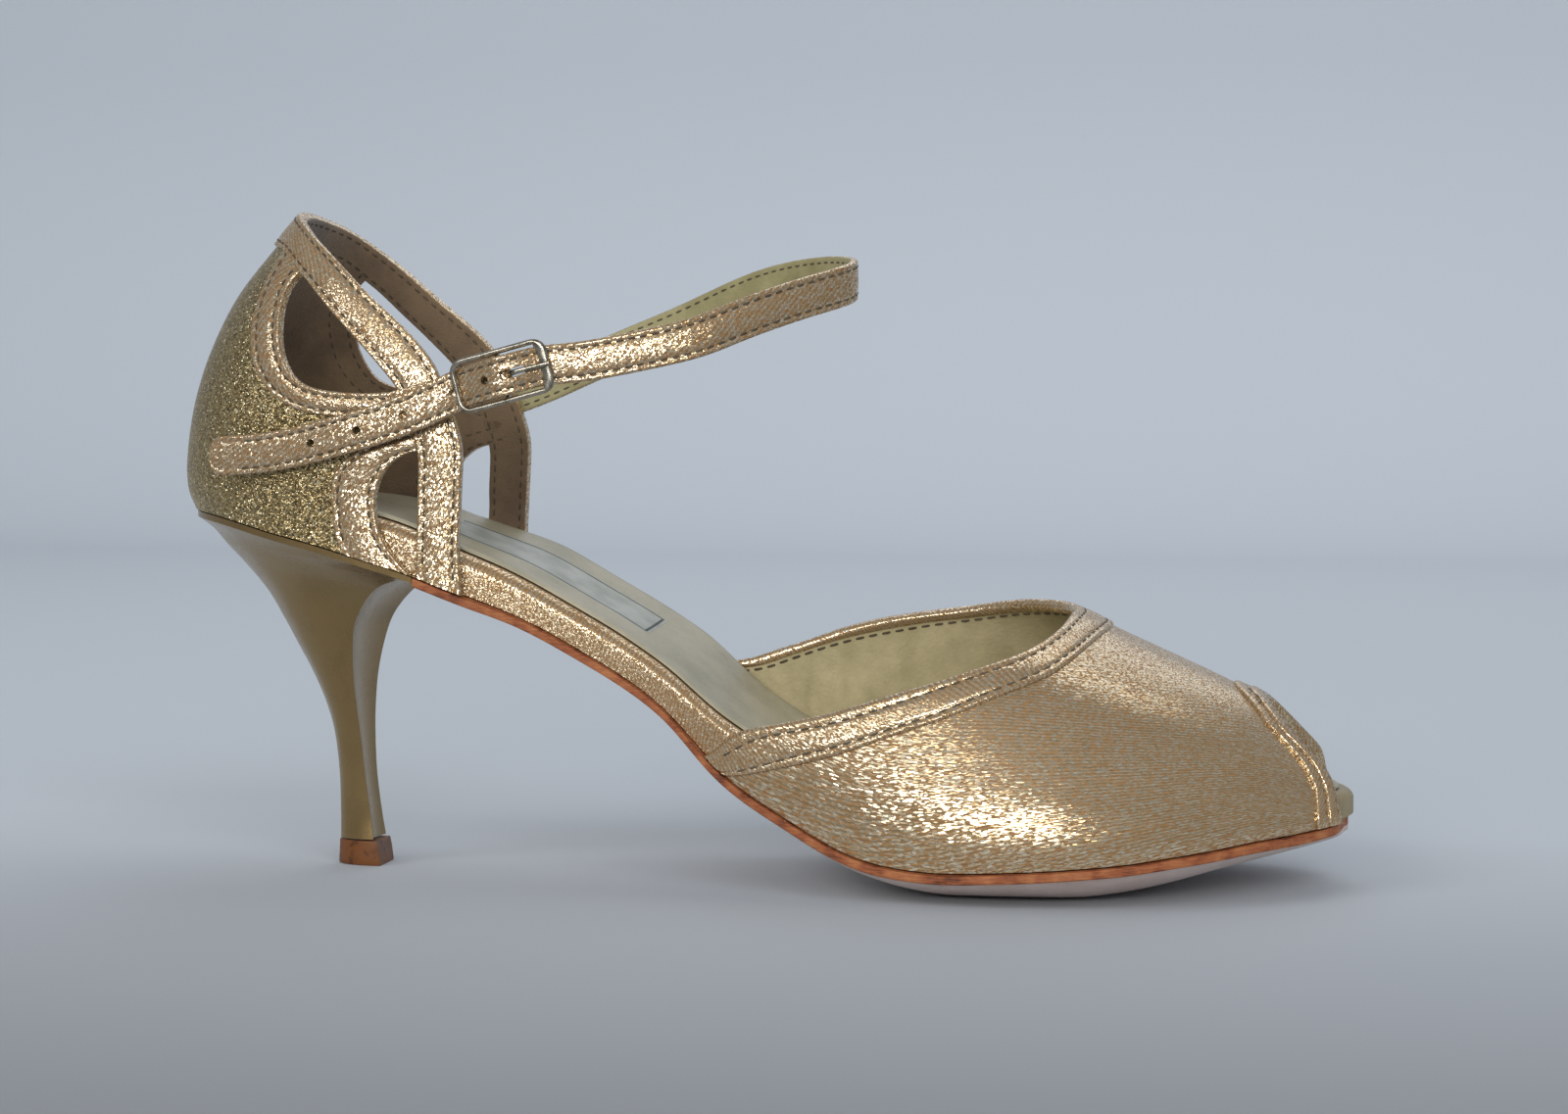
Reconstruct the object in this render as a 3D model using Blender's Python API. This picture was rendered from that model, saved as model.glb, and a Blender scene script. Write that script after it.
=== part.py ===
"""A woman's right tango sandal: peep-toe vamp, cage quarter with a closed heel cup, buckled ankle strap, 70 mm heel.

Metres, +Z up. The origin is on the floor under the centre of the heel's top piece, +X runs to the toe,
-Y is the lateral side, which carries the buckle, and +Y is the medial side.
Stations along the shoe are shares of SOLE_LENGTH, widths are shares of HALF_WIDTH, and heights are shares of
HEEL_HEIGHT, THROAT_HEIGHT or QUARTER_RISE, as each table says.
"""

import math

import bmesh
import bpy
import numpy as np
from mathutils import Vector

SOLE_LENGTH = 0.200  # heel axis to toe tip, along the floor
HALF_WIDTH = 0.040  # the scale of every width: the ball is 1.9 of it across
HEEL_HEIGHT = 0.070
QUARTER_RISE = 0.060  # heel seat to the top of the collar
THROAT_HEIGHT = 0.054  # floor to the vamp's throat
INSOLE_THICKNESS = 0.007
SOCK_THICKNESS = 0.0007
SOLE_EDGE = 0.0018
VAMP_WALL = 0.0015
BINDING_STEP = 0.0007
STRIP_STEP = 0.0007
COUNTER_WALL = 0.0016
BAND_STEP = 0.0008
STRAP_WIDTH = 0.0077
STRAP_THICKNESS = 0.0016
TAB_THICKNESS = 0.0008
BUCKLE_LENGTH = 0.0185
BUCKLE_WIRE = 0.0011
HOLE_DIAMETER = 0.0016
TIP_LENGTH = 0.010
TIP_WIDTH = 0.0094
TIP_HEIGHT = 0.005
GAP = 0.0003  # between pieces that touch

# The last's bottom edge, lateral side from the back to the toe tip, then the medial side back again.
OUTLINE = (
    (-0.156, 0), (-0.14, -0.3), (-0.1, -0.5), (-0.05, -0.59), (0, -0.625), (0.075, -0.625), (0.15, -0.59),
    (0.25, -0.55), (0.35, -0.575), (0.45, -0.675), (0.55, -0.8), (0.625, -0.86), (0.7, -0.875), (0.75, -0.85),
    (0.825, -0.725), (0.9, -0.475), (0.95, -0.235), (0.978, -0.08), (0.995, 0.2), (0.978, 0.48), (0.95, 0.64),
    (0.9, 0.78), (0.825, 0.95), (0.75, 1.02), (0.7, 1.02), (0.625, 0.975), (0.55, 0.85), (0.45, 0.675),
    (0.35, 0.575), (0.25, 0.55), (0.15, 0.58), (0.075, 0.615), (0, 0.625), (-0.05, 0.59), (-0.1, 0.5),
    (-0.14, 0.3),
)
# Height of the feather line, where the upper meets the sole, by station: shares of HEEL_HEIGHT.
FEATHER = (
    (-0.18, 1.037), (-0.125, 1.023), (-0.095, 1.007), (-0.05, 0.974), (-0.007, 0.946), (0.033, 0.912),
    (0.053, 0.895), (0.093, 0.861), (0.112, 0.839), (0.136, 0.811), (0.17, 0.777), (0.208, 0.729),
    (0.246, 0.67), (0.305, 0.573), (0.344, 0.491), (0.364, 0.429), (0.384, 0.37), (0.404, 0.319),
    (0.424, 0.281), (0.464, 0.217), (0.503, 0.157), (0.542, 0.114), (0.58, 0.097), (0.618, 0.091),
    (0.655, 0.096), (0.7, 0.103), (0.745, 0.113), (0.79, 0.123), (0.833, 0.14), (0.868, 0.151),
    (0.903, 0.167), (0.957, 0.18), (0.975, 0.19), (1.01, 0.208),
)
# Height of the outsole's underside along its middle: shares of HEEL_HEIGHT. It rests on the floor where it is 0.
UNDERSIDE = (
    (0.09, 0.835), (0.2, 0.7), (0.3, 0.54), (0.344, 0.449), (0.398, 0.28), (0.458, 0.17), (0.508, 0.084),
    (0.557, 0.031), (0.595, 0.006), (0.62, 0), (0.74, 0), (0.788, 0.018), (0.832, 0.046), (0.868, 0.075), (0.92, 0.11),
    (0.975, 0.146), (1.01, 0.17),
)
# How much higher the medial edge is than the lateral edge in the waist: shares of HEEL_HEIGHT.
ARCH = ((0.09, 0), (0.15, 0.028), (0.2, 0.04), (0.33, 0.04), (0.37, 0.027), (0.4, 0.01), (0.43, 0))
# Thickness of the covered insole: shares of INSOLE_THICKNESS.
PLATFORM = (
    (-0.18, 0.64), (-0.1, 0.72), (-0.05, 0.86), (0, 1.07), (0.06, 1.28), (0.14, 1.14), (0.25, 1.0),
    (0.32, 1.0), (0.37, 1.24), (0.425, 1.5), (0.475, 1.43), (0.55, 1.2), (0.65, 1.05), (0.8, 1.0), (0.94, 0.9), (1, 0.78),
)
# Height of the last's ridge: shares of THROAT_HEIGHT.
RIDGE = (
    (0.32, 1.65), (0.384, 1.565), (0.45, 1.444), (0.53, 1.296), (0.6, 1.182), (0.65, 1.11), (0.7125, 1.004),
    (0.75, 0.94), (0.782, 0.886), (0.82, 0.823), (0.868, 0.742), (0.9, 0.682), (0.93, 0.6), (0.95, 0.54),
    (0.97, 0.468), (0.985, 0.385), (1.01, 0.25),
)
# Half a cross-section of the last from ridge to feather: share of the way out, share of the way up.
SECTION = (
    (0, 1), (0.2, 0.985), (0.4, 0.935), (0.6, 0.845), (0.78, 0.71), (0.91, 0.54), (0.99, 0.36), (1.02, 0.2),
    (1.015, 0.08), (1, 0),
)
RIDGE_OFFSET = 0.2
# Station of each edge of the vamp by its share of the way up from feather to ridge.
LATERAL_TOPLINE = (
    (0, 0.384), (0.184, 0.4225), (0.28, 0.46), (0.378, 0.5), (0.472, 0.539), (0.552, 0.5765), (0.622, 0.6115),
    (0.698, 0.6475), (0.783, 0.6815), (0.843, 0.699), (0.914, 0.714), (0.967, 0.7215), (1, 0.724),
)
MEDIAL_TOPLINE = (
    (0, 0.33), (0.16, 0.368), (0.334, 0.4085), (0.464, 0.45), (0.577, 0.491), (0.669, 0.532), (0.74, 0.5725),
    (0.807, 0.613), (0.905, 0.668), (0.955, 0.695), (0.99, 0.715), (1, 0.724),
)
LATERAL_BINDING = (
    (0, 0.404), (0.064, 0.4285), (0.166, 0.468), (0.261, 0.505), (0.352, 0.5425), (0.433, 0.5795),
    (0.504, 0.6165), (0.588, 0.653), (0.684, 0.6895), (0.776, 0.718), (0.868, 0.7365), (0.978, 0.755),
    (1, 0.7595),
)
MEDIAL_BINDING = (
    (0, 0.36), (0.19, 0.4085), (0.325, 0.45), (0.44, 0.491), (0.53, 0.532), (0.6, 0.5725), (0.665, 0.613),
    (0.76, 0.668), (0.85, 0.7095), (0.93, 0.7375), (0.985, 0.755), (1, 0.7595),
)
TOE_STRIPS = ((0, 0.96), (0.443, 0.9585), (0.71, 0.948), (0.83, 0.93), (0.89, 0.911), (0.973, 0.8915), (1, 0.876))
TOE_OPENING = (
    (0, 0.9815), (0.26, 0.9785), (0.575, 0.974), (0.77, 0.966), (0.865, 0.9455), (0.935, 0.926), (1, 0.907),
)
# Back of the quarter above the seat: share of QUARTER_RISE, station.
QUARTER_BACK = (
    (-0.3, -0.1655), (0, -0.1655), (0.05, -0.1735), (0.13, -0.1765), (0.23, -0.174), (0.33, -0.169),
    (0.463, -0.1575), (0.597, -0.1405), (0.72, -0.12), (0.8, -0.1015), (0.887, -0.079), (1.0, -0.0505),
    (1.1, -0.032),
)
# Narrowing of the quarter towards the collar: share of QUARTER_RISE, share of the seat's width.
QUARTER_TAPER = ((-0.3, 1), (0, 1), (0.2, 1.005), (0.45, 0.995), (0.6, 0.95), (0.72, 0.88), (0.85, 0.79), (1.1, 0.65))
# Side views of the quarter's edges: station, share of QUARTER_RISE above the seat.
COLLAR_CUT = (
    (-0.3, 1.0), (-0.0515, 1.0), (-0.039, 0.965), (-0.0205, 0.92), (0.0065, 0.845), (0.0315, 0.768),
    (0.0575, 0.688), (0.08, 0.628), (0.101, 0.558), (0.116, 0.495), (0.124, 0.433), (0.136, 0.327),
    (0.144, 0.25), (0.144, 0.15), (0.142, 0.023), (0.14, -0.103), (0.143, -0.6), (0.4, -0.6), (0.4, 1.6),
    (-0.3, 1.6),
)
WINDOW_CUT = (
    (-0.031, 0.775), (-0.0415, 0.72), (-0.0425, 0.623), (-0.0405, 0.56), (-0.0345, 0.497), (-0.0215, 0.438),
    (-0.0015, 0.41), (0.0285, 0.397), (0.068, 0.395), (0.083, 0.402), (0.0715, 0.455), (0.0505, 0.528),
    (0.0295, 0.6), (0.0085, 0.67), (-0.012, 0.743), (-0.0235, 0.78),
)
LOW_WINDOW_CUT = (
    (0.1015, 0.212), (0.084, 0.192), (0.069, 0.148), (0.06, 0.085), (0.0585, 0.02), (0.0615, -0.043),
    (0.0695, -0.1), (0.081, -0.143), (0.092, -0.175), (0.094, -0.6), (0.0995, -0.6), (0.1, -0.2), (0.102, 0.1),
)
COUNTER_CUT = (
    (-0.4, 0.887), (-0.0865, 0.887), (-0.067, 0.88), (-0.059, 0.833), (-0.0755, 0.625), (-0.0745, 0.56),
    (-0.07, 0.497), (-0.06, 0.432), (-0.042, 0.378), (-0.022, 0.343), (0.003, 0.323), (0.014, 0.32),
    (0.045, 0.318), (0.07, 0.292), (0.074, 0.26), (0.074, 0.237), (0.0445, 0.212), (0.0275, 0.185),
    (0.0175, 0.147), (0.014, 0.083), (0.015, 0.02), (0.017, -0.043), (0.0235, -0.107), (0.0355, -0.142),
    (0.04, -0.8), (-0.4, -0.8),
)
# Rings of the heel: back station and height, breast station and height, width. Heights are shares of
# HEEL_HEIGHT and widths of HALF_WIDTH.
HEEL_RINGS = (
    (-0.023, 0.076, 0.0175, 0.076, 0.215), (-0.023, 0.15, 0.014, 0.15, 0.19),
    (-0.0238, 0.265, 0.009, 0.265, 0.198), (-0.028, 0.38, 0.006, 0.38, 0.248),
    (-0.036, 0.468, 0.0045, 0.466, 0.32), (-0.049, 0.556, 0.0045, 0.55, 0.41),
    (-0.065, 0.643, 0.0075, 0.636, 0.525), (-0.0795, 0.72, 0.0135, 0.71, 0.64),
    (-0.0965, 0.8, 0.027, 0.772, 0.76), (-0.118, 0.872, 0.045, 0.818, 0.91),
    (-0.139, 0.937, 0.07, 0.845, 1.11), (-0.153, 0.985, 0.09, 0.852, 1.27),
)
HEEL_SEAT_FRONT = 0.0935
# Half of a heel section from the breast's corner to the back: share of its length, share of its half width.
HEEL_SECTION = ((0, 1), (0.15, 1.0), (0.35, 0.98), (0.55, 0.9), (0.75, 0.72), (0.9, 0.46), (0.97, 0.25), (1, 0))
# The ankle strap's middle line from its medial end round the front to the tail's tip: station, side as a
# share of the quarter's outer face, height as a share of QUARTER_RISE above the seat.
STRAP_FAR = (
    (0.08, 1, 0.335), (0.11, 1, 0.365), (0.14, 1, 0.4), (0.17, 1.0, 0.44), (0.205, 0.99, 0.492),
    (0.25, 0.96, 0.555), (0.3, 0.91, 0.618), (0.345, 0.82, 0.682), (0.383, 0.7, 0.732), (0.422, 0.53, 0.765),
    (0.458, 0.34, 0.779), (0.487, 0.14, 0.781), (0.506, -0.05, 0.772), (0.512, -0.22, 0.757),
    (0.504, -0.38, 0.736), (0.477, -0.53, 0.706), (0.446, -0.66, 0.668), (0.411, -0.77, 0.622),
    (0.3785, -0.86, 0.573), (0.34, -0.92, 0.542), (0.3, -0.965, 0.514), (0.2625, -1.0, 0.492),
)
STRAP_TAIL = (
    (0.122, 0.365), (0.1, 0.335), (0.076, 0.305), (0.05, 0.28), (0.0265, 0.258), (0, 0.235), (-0.0235, 0.217),
    (-0.05, 0.202), (-0.0735, 0.195), (-0.094, 0.192), (-0.107, 0.192),
)
BUCKLE_STATION = 0.1925
BUCKLE_HEIGHT = 0.45
BUCKLE_TILT = math.radians(15)
STRAP_HOLES = (0.178, 0.1425, 0.094, 0.0465, -0.001)


def hermite(table, x):
    """A smooth curve through the table that never overshoots its points."""
    px, py = (np.array(c, float) for c in zip(*table))
    h = np.diff(px)
    d = np.diff(py) / h
    slope = np.zeros(len(px))
    same = d[:-1] * d[1:] > 0
    w1, w2 = 2 * h[1:] + h[:-1], h[1:] + 2 * h[:-1]
    inner = np.zeros(len(d) - 1)
    inner[same] = ((w1 + w2)[same]) / (w1[same] / d[:-1][same] + w2[same] / d[1:][same])
    slope[1:-1] = inner
    slope[0], slope[-1] = d[0], d[-1]
    x = np.clip(np.asarray(x, float), px[0], px[-1])
    i = np.clip(np.searchsorted(px, x, side="right") - 1, 0, len(h) - 1)
    t = (x - px[i]) / h[i]
    return (
        py[i] * (1 + 2 * t) * (1 - t) ** 2
        + slope[i] * h[i] * t * (1 - t) ** 2
        + py[i + 1] * t**2 * (3 - 2 * t)
        + slope[i + 1] * h[i] * t**2 * (t - 1)
    )


def feather(x):
    return HEEL_HEIGHT * hermite(FEATHER, x / SOLE_LENGTH)


def arch(x):
    return HEEL_HEIGHT * hermite(ARCH, x / SOLE_LENGTH)


def platform(x):
    return INSOLE_THICKNESS * hermite(PLATFORM, x / SOLE_LENGTH)


def through(points, per, closed=False):
    """A Catmull-Rom curve through the points, with this many steps a span."""
    p = np.array(points, float)
    if closed:
        p = np.vstack([p[-1], p, p[:2]])
    else:
        p = np.vstack([2 * p[0] - p[1], p, 2 * p[-1] - p[-2]])
    t = (np.arange(per) / per)[:, None]
    spans = [
        0.5 * (2 * b + (c - a) * t + (2 * a - 5 * b + 4 * c - d) * t**2 + (3 * b - a - 3 * c + d) * t**3)
        for a, b, c, d in zip(p, p[1:], p[2:], p[3:])
    ]
    if not closed:
        spans.append(p[-2:-1])
    return np.vstack(spans)


def outline(offset):
    """The last's bottom edge moved out by offset, which may vary with x: closed, from the back by the lateral side."""
    loop = through(OUTLINE, 16, closed=True) * (SOLE_LENGTH, HALF_WIDTH)
    along = np.roll(loop, -1, 0) - np.roll(loop, 1, 0)
    along /= np.linalg.norm(along, axis=1)[:, None]
    out = np.stack([along[:, 1], -along[:, 0]], 1)
    if np.sum(out * (loop - loop.mean(0))) < 0:
        out = -out
    reach = offset(loop[:, 0]) if callable(offset) else offset
    loop = loop + out * np.reshape(reach, (-1, 1))
    return np.roll(loop, -int(np.argmin(loop[:, 0])), 0)


def sides(offset):
    """Functions that give the lateral and the medial y at x, and the ends of the outline."""
    loop = outline(offset)
    tip = int(np.argmax(loop[:, 0]))
    lateral = loop[: tip + 1]
    medial = np.vstack([loop[tip:], loop[:1]])[::-1]

    def lateral_y(x):
        return np.interp(x, lateral[:, 0], lateral[:, 1])

    def medial_y(x):
        return np.interp(x, medial[:, 0], medial[:, 1])

    return lateral_y, medial_y, loop[0, 0], loop[tip, 0]


def material(name, colour, roughness, metallic=0.0):
    made = bpy.data.materials.new(name)
    made.use_nodes = True
    shader = made.node_tree.nodes["Principled BSDF"]
    shader.inputs["Base Color"].default_value = (*colour, 1)
    shader.inputs["Roughness"].default_value = roughness
    shader.inputs["Metallic"].default_value = metallic
    return made


def solid(name, points, faces, look, helper=False):
    """An object from points and faces, its normals turned out."""
    mesh = bpy.data.meshes.new(name)
    mesh.from_pydata([tuple(p) for p in points], [], faces)
    form = bmesh.new()
    form.from_mesh(mesh)
    bmesh.ops.remove_doubles(form, verts=form.verts, dist=1e-7)
    bmesh.ops.recalc_face_normals(form, faces=form.faces)
    form.to_mesh(mesh)
    form.free()
    mesh.shade_smooth()
    mesh.set_sharp_from_angle(angle=math.radians(35))
    made = bpy.data.objects.new(name, mesh)
    bpy.context.scene.collection.objects.link(made)
    if look:
        mesh.materials.append(look)
    if helper:
        made.hide_render = True
        made.display_type = "WIRE"
    return made


def loft(name, rings, look, helper=False, closed=False):
    """A solid through equal rings of points, with flat ends unless it closes on itself."""
    n, count = len(rings[0]), len(rings)
    points = np.vstack(rings)
    faces = []
    for i in range(count if closed else count - 1):
        a, b = i * n, (i + 1) % count * n
        faces += [(a + j, a + (j + 1) % n, b + (j + 1) % n, b + j) for j in range(n)]
    if not closed:
        faces += [tuple(range(n))[::-1], tuple(range((count - 1) * n, count * n))]
    return solid(name, points, faces, look, helper)


def wall(name, outer, inner, look, helper=False):
    """A closed wall between two grids of the same size."""
    rows, columns = outer.shape[:2]
    points = np.vstack([outer.reshape(-1, 3), inner.reshape(-1, 3)])
    other = rows * columns

    def at(i, j):
        return i * columns + j

    faces = []
    for i in range(rows - 1):
        for j in range(columns - 1):
            quad = (at(i, j), at(i, j + 1), at(i + 1, j + 1), at(i + 1, j))
            faces += [quad, tuple(other + k for k in quad[::-1])]
    rim = [at(0, j) for j in range(columns)] + [at(i, columns - 1) for i in range(1, rows)]
    rim += [at(rows - 1, j) for j in range(columns - 2, -1, -1)] + [at(i, 0) for i in range(rows - 2, 0, -1)]
    for a, b in zip(rim, rim[1:] + rim[:1]):
        faces.append((a, other + a, other + b, b))
    return solid(name, points, faces, look, helper)


def normals(grid):
    across = np.gradient(grid, axis=0)
    along = np.gradient(grid, axis=1)
    out = np.cross(across, along)
    return out / np.linalg.norm(out, axis=2)[:, :, None]


def boolean(target, other, operation):
    step = target.modifiers.new(other.name, "BOOLEAN")
    step.object = other
    step.operation = operation
    step.solver = "EXACT"


def prism(name, profile, reach):
    """A cutter across the shoe from a side view's outline, given in metres."""
    near = [(x, -reach, z) for x, z in profile]
    far = [(x, reach, z) for x, z in profile]
    return loft(name, [np.array(near), np.array(far)], None, helper=True)


def stations(start, end):
    """Where the long lofts have their sections: at places that all of them share, and closer at their ends."""
    shared = SOLE_LENGTH * np.arange(-0.16, 1.01, 0.0225)
    near = SOLE_LENGTH * np.array((0.0005, 0.004, 0.011, 0.022))
    inner = shared[(shared > start + 1.3 * near[-1]) & (shared < end - 1.3 * near[-1])]
    return np.concatenate([start + near, inner, end - near[::-1]])


def rounding(distance, radius):
    """How far a rounded edge has dropped this far in from it."""
    d = np.clip(distance, 0, radius)
    return radius - np.sqrt(radius**2 - (radius - d) ** 2)


def insole_top(x, t):
    """Height of the insole's top: t is 0 at its lateral edge and 1 at its medial edge."""
    dish = 0.1 * INSOLE_THICKNESS
    return feather(x) + GAP + platform(x) + arch(x) * t - dish * 4 * t * (1 - t)


def build_outsole(look):
    """A thin sole that starts at the heel's lip; its underside is crowned and flat on the floor at the ball."""
    stand = GAP + VAMP_WALL + BINDING_STEP

    def overhang(x):
        s = x / SOLE_LENGTH
        return stand * hermite(((0.09, 1.0), (0.15, 0.95), (0.2, 0.45), (0.34, 0.45), (0.4, 1.1), (0.93, 1.1), (0.965, 0.9), (0.99, -0.4)), s)

    lateral_y, medial_y, _, tip = sides(overhang)
    start = HEEL_SEAT_FRONT * SOLE_LENGTH + GAP
    rings = []
    for x in (start, *stations(start, tip)):
        low, high = lateral_y(x), medial_y(x)
        top = feather(x)
        middle = HEEL_HEIGHT * hermite(UNDERSIDE, x / SOLE_LENGTH)
        ring = [(x, low + (high - low) * t, top + arch(x) * t) for t in (0, 0.5, 1)]
        for t, share in ((1, 0), (0.95, 0.45), (0.85, 0.85), (0.72, 1), (0.28, 1), (0.15, 0.85), (0.05, 0.45), (0, 0)):
            edge = top - SOLE_EDGE + arch(x) * t
            ring.append((x, low + (high - low) * t, edge + (min(middle + arch(x) * t, edge) - edge) * share))
        rings.append(np.array(ring))
    return loft("outsole", rings, look)


def build_insole(look):
    """The covered platform that the foot stands on, with a rounded top edge."""
    lateral_y, medial_y, back, tip = sides(0)
    radius = 0.36 * INSOLE_THICKNESS
    rings = []
    for x in stations(back, tip):
        low, high = lateral_y(x), medial_y(x)
        end = rounding(min(x - back, tip - x), radius)
        inset = min(radius, 0.3 * (high - low))
        ring = [(x, low, feather(x) + GAP), (x, low, insole_top(x, 0) - max(radius, end))]
        for share in (0.29, 1):
            t = inset * share / (high - low)
            drop = max(end, rounding(share * radius, radius))
            ring.append((x, low + inset * share, insole_top(x, t) - drop))
        ring.append((x, 0.5 * (low + high), insole_top(x, 0.5) - end))
        for share in (1, 0.29):
            t = 1 - inset * share / (high - low)
            drop = max(end, rounding(share * radius, radius))
            ring.append((x, high - inset * share, insole_top(x, t) - drop))
        ring += [(x, high, insole_top(x, 1) - max(radius, end)), (x, high, feather(x) + arch(x) + GAP)]
        rings.append(np.array(ring))
    return loft("insole", rings, look)


def build_sock(look):
    """The thin lining that is glued on the insole."""
    inset = 0.4 * INSOLE_THICKNESS
    lateral_y, medial_y, back, tip = sides(-inset)
    whole_low, whole_high, _, _ = sides(0)
    rings = []
    for x in stations(back, tip):
        low, high = lateral_y(x), medial_y(x)
        ring = []
        for lift, shares in ((GAP, (0, 0.5, 1)), (GAP + SOCK_THICKNESS, (1, 0.5, 0))):
            for share in shares:
                y = low + (high - low) * share
                t = (y - whole_low(x)) / (whole_high(x) - whole_low(x))
                ring.append((x, y, insole_top(x, t) + lift))
        rings.append(np.array(ring))
    return loft("insole_sock", rings, look)


def build_vamp(look):
    """The forefoot's upper: one wall with the topline's binding and the toe's two strips as steps in it."""
    lateral_y, medial_y, _, _ = sides(GAP + VAMP_WALL)
    out, up = (np.array(c, float) for c in zip(*SECTION))
    girth = np.concatenate([[0], np.cumsum(np.hypot(np.diff(out), np.diff(up)))])
    girth /= girth[-1]
    half = 17
    v = np.linspace(-1, 1, 2 * half + 1)
    share_out = hermite(tuple(zip(girth, out)), np.abs(v))
    share_up = hermite(tuple(zip(girth, up)), np.abs(v))
    lateral = v < 0

    def edge(near, far):
        return SOLE_LENGTH * np.where(lateral, hermite(near, share_up), hermite(far, share_up))

    top, low = edge(LATERAL_TOPLINE, MEDIAL_TOPLINE), edge(LATERAL_BINDING, MEDIAL_BINDING)
    strips, front = edge(TOE_STRIPS, TOE_STRIPS), edge(TOE_OPENING, TOE_OPENING)
    step = 0.00015
    middle = 0.5 * (strips + front)
    rows = [(top, BINDING_STEP), (0.5 * (top + low), BINDING_STEP), (low - step, BINDING_STEP)]
    rows += [(low + step + (strips - low - 2 * step) * u, 0) for u in np.linspace(0, 1, 13)]
    rows += [(strips + step, STRIP_STEP), (middle - step, STRIP_STEP)]
    rows += [(middle + step, 1.7 * STRIP_STEP), (front, 1.7 * STRIP_STEP)]
    x = np.array([row for row, _ in rows])
    lift = np.array([raised for _, raised in rows])[:, None, None]
    ridge_y = RIDGE_OFFSET * HALF_WIDTH
    edge_y = np.where(lateral, lateral_y(x), medial_y(x))
    foot = feather(x) + np.where(lateral, 0, arch(x)) + GAP
    ridge_z = THROAT_HEIGHT * hermite(RIDGE, x / SOLE_LENGTH)
    grid = np.stack([x, ridge_y + (edge_y - ridge_y) * share_out, foot + (ridge_z - foot) * share_up], 2)
    face = normals(grid)
    if face[len(rows) // 2, half, 2] < 0:
        face = -face
    outer, inner = grid + face * lift, grid - face * VAMP_WALL
    for surface in (outer, inner):
        floor = feather(surface[:, :, 0]) + np.where(lateral, 0, arch(surface[:, :, 0])) + GAP
        surface[:, :, 2] = np.maximum(surface[:, :, 2], floor)
    return wall("vamp", outer, inner, look)


def quarter_grid():
    """The outer face of the heel cup before it is trimmed, rows from the feather up, with its normals."""
    loop = outline(GAP + COUNTER_WALL)
    front = 0.155 * SOLE_LENGTH
    tip = int(np.argmax(loop[:, 0]))
    medial = loop[tip:][loop[tip:, 0] < front]
    lateral = loop[:tip][loop[:tip, 0] < front]
    path = np.vstack([medial, lateral])
    path = np.vstack([[front, np.interp(front, loop[tip:][::-1, 0], loop[tip:][::-1, 1])], path])
    path = np.vstack([path, [front, np.interp(front, loop[:tip, 0], loop[:tip, 1])]])
    run = np.concatenate([[0], np.cumsum(np.linalg.norm(np.diff(path, axis=0), axis=1))])
    at = np.linspace(0, run[-1], 41)
    seat = np.stack([np.interp(at, run, path[:, 0]), np.interp(at, run, path[:, 1])], 1)
    foot = feather(seat[:, 0]) + np.where(seat[:, 1] > 0, arch(seat[:, 0]), 0) + GAP
    level = seat_level()
    top = level + 1.06 * QUARTER_RISE
    rows = []
    for u in (0, 0.08, 0.16, 0.26, 0.36, 0.48, 0.6, 0.72, 0.82, 0.91, 1):
        z = foot + (top - foot) * u
        h = (z - level) / QUARTER_RISE
        lean = (front - SOLE_LENGTH * hermite(QUARTER_BACK, h)) / (front - seat[:, 0].min())
        rows.append(np.stack([front - (front - seat[:, 0]) * lean, seat[:, 1] * hermite(QUARTER_TAPER, h), z], 1))
    grid = np.array(rows)
    face = normals(grid)
    if face[0, 20, 0] > 0:
        face = -face
    return grid, face


def seat_level():
    """The height that the quarter's side views are measured from."""
    return 1.03 * HEEL_HEIGHT


def side_view(table):
    return [(x * SOLE_LENGTH, seat_level() + z * QUARTER_RISE) for x, z in table]


def smooth_view(table, corners):
    """A side view's outline with its bends rounded, except at the corners listed by their place."""
    profile = side_view(table)
    found, start = [], 0
    for end in (*corners, len(profile) - 1):
        if end - start >= 2:
            found += [tuple(p) for p in through(profile[start : end + 1], 2)][:-1]
        else:
            found += profile[start:end]
        start = end
    return [*found, profile[-1]]


def build_quarter(look):
    """The heel cup and the cage of bands in front of it: the bands are a step in the wall."""
    grid, face = quarter_grid()
    cup = wall("quarter", grid, grid - face * COUNTER_WALL, look)
    bands = wall("quarter_bands", grid + face * BAND_STEP, grid - face * 0.5 * COUNTER_WALL, None, helper=True)
    reach = 2 * HALF_WIDTH
    boolean(bands, prism("cut_counter", smooth_view(COUNTER_CUT, (1, 23, 24)), reach), "DIFFERENCE")
    boolean(cup, bands, "UNION")
    boolean(cup, prism("cut_collar", smooth_view(COLLAR_CUT, (1, 15, 16, 17, 18)), reach), "DIFFERENCE")
    boolean(cup, prism("cut_window", smooth_view(WINDOW_CUT, (9,)), reach), "DIFFERENCE")
    boolean(cup, prism("cut_low_window", smooth_view(LOW_WINDOW_CUT, (8, 9, 10, 11)), reach), "DIFFERENCE")
    return cup


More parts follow.
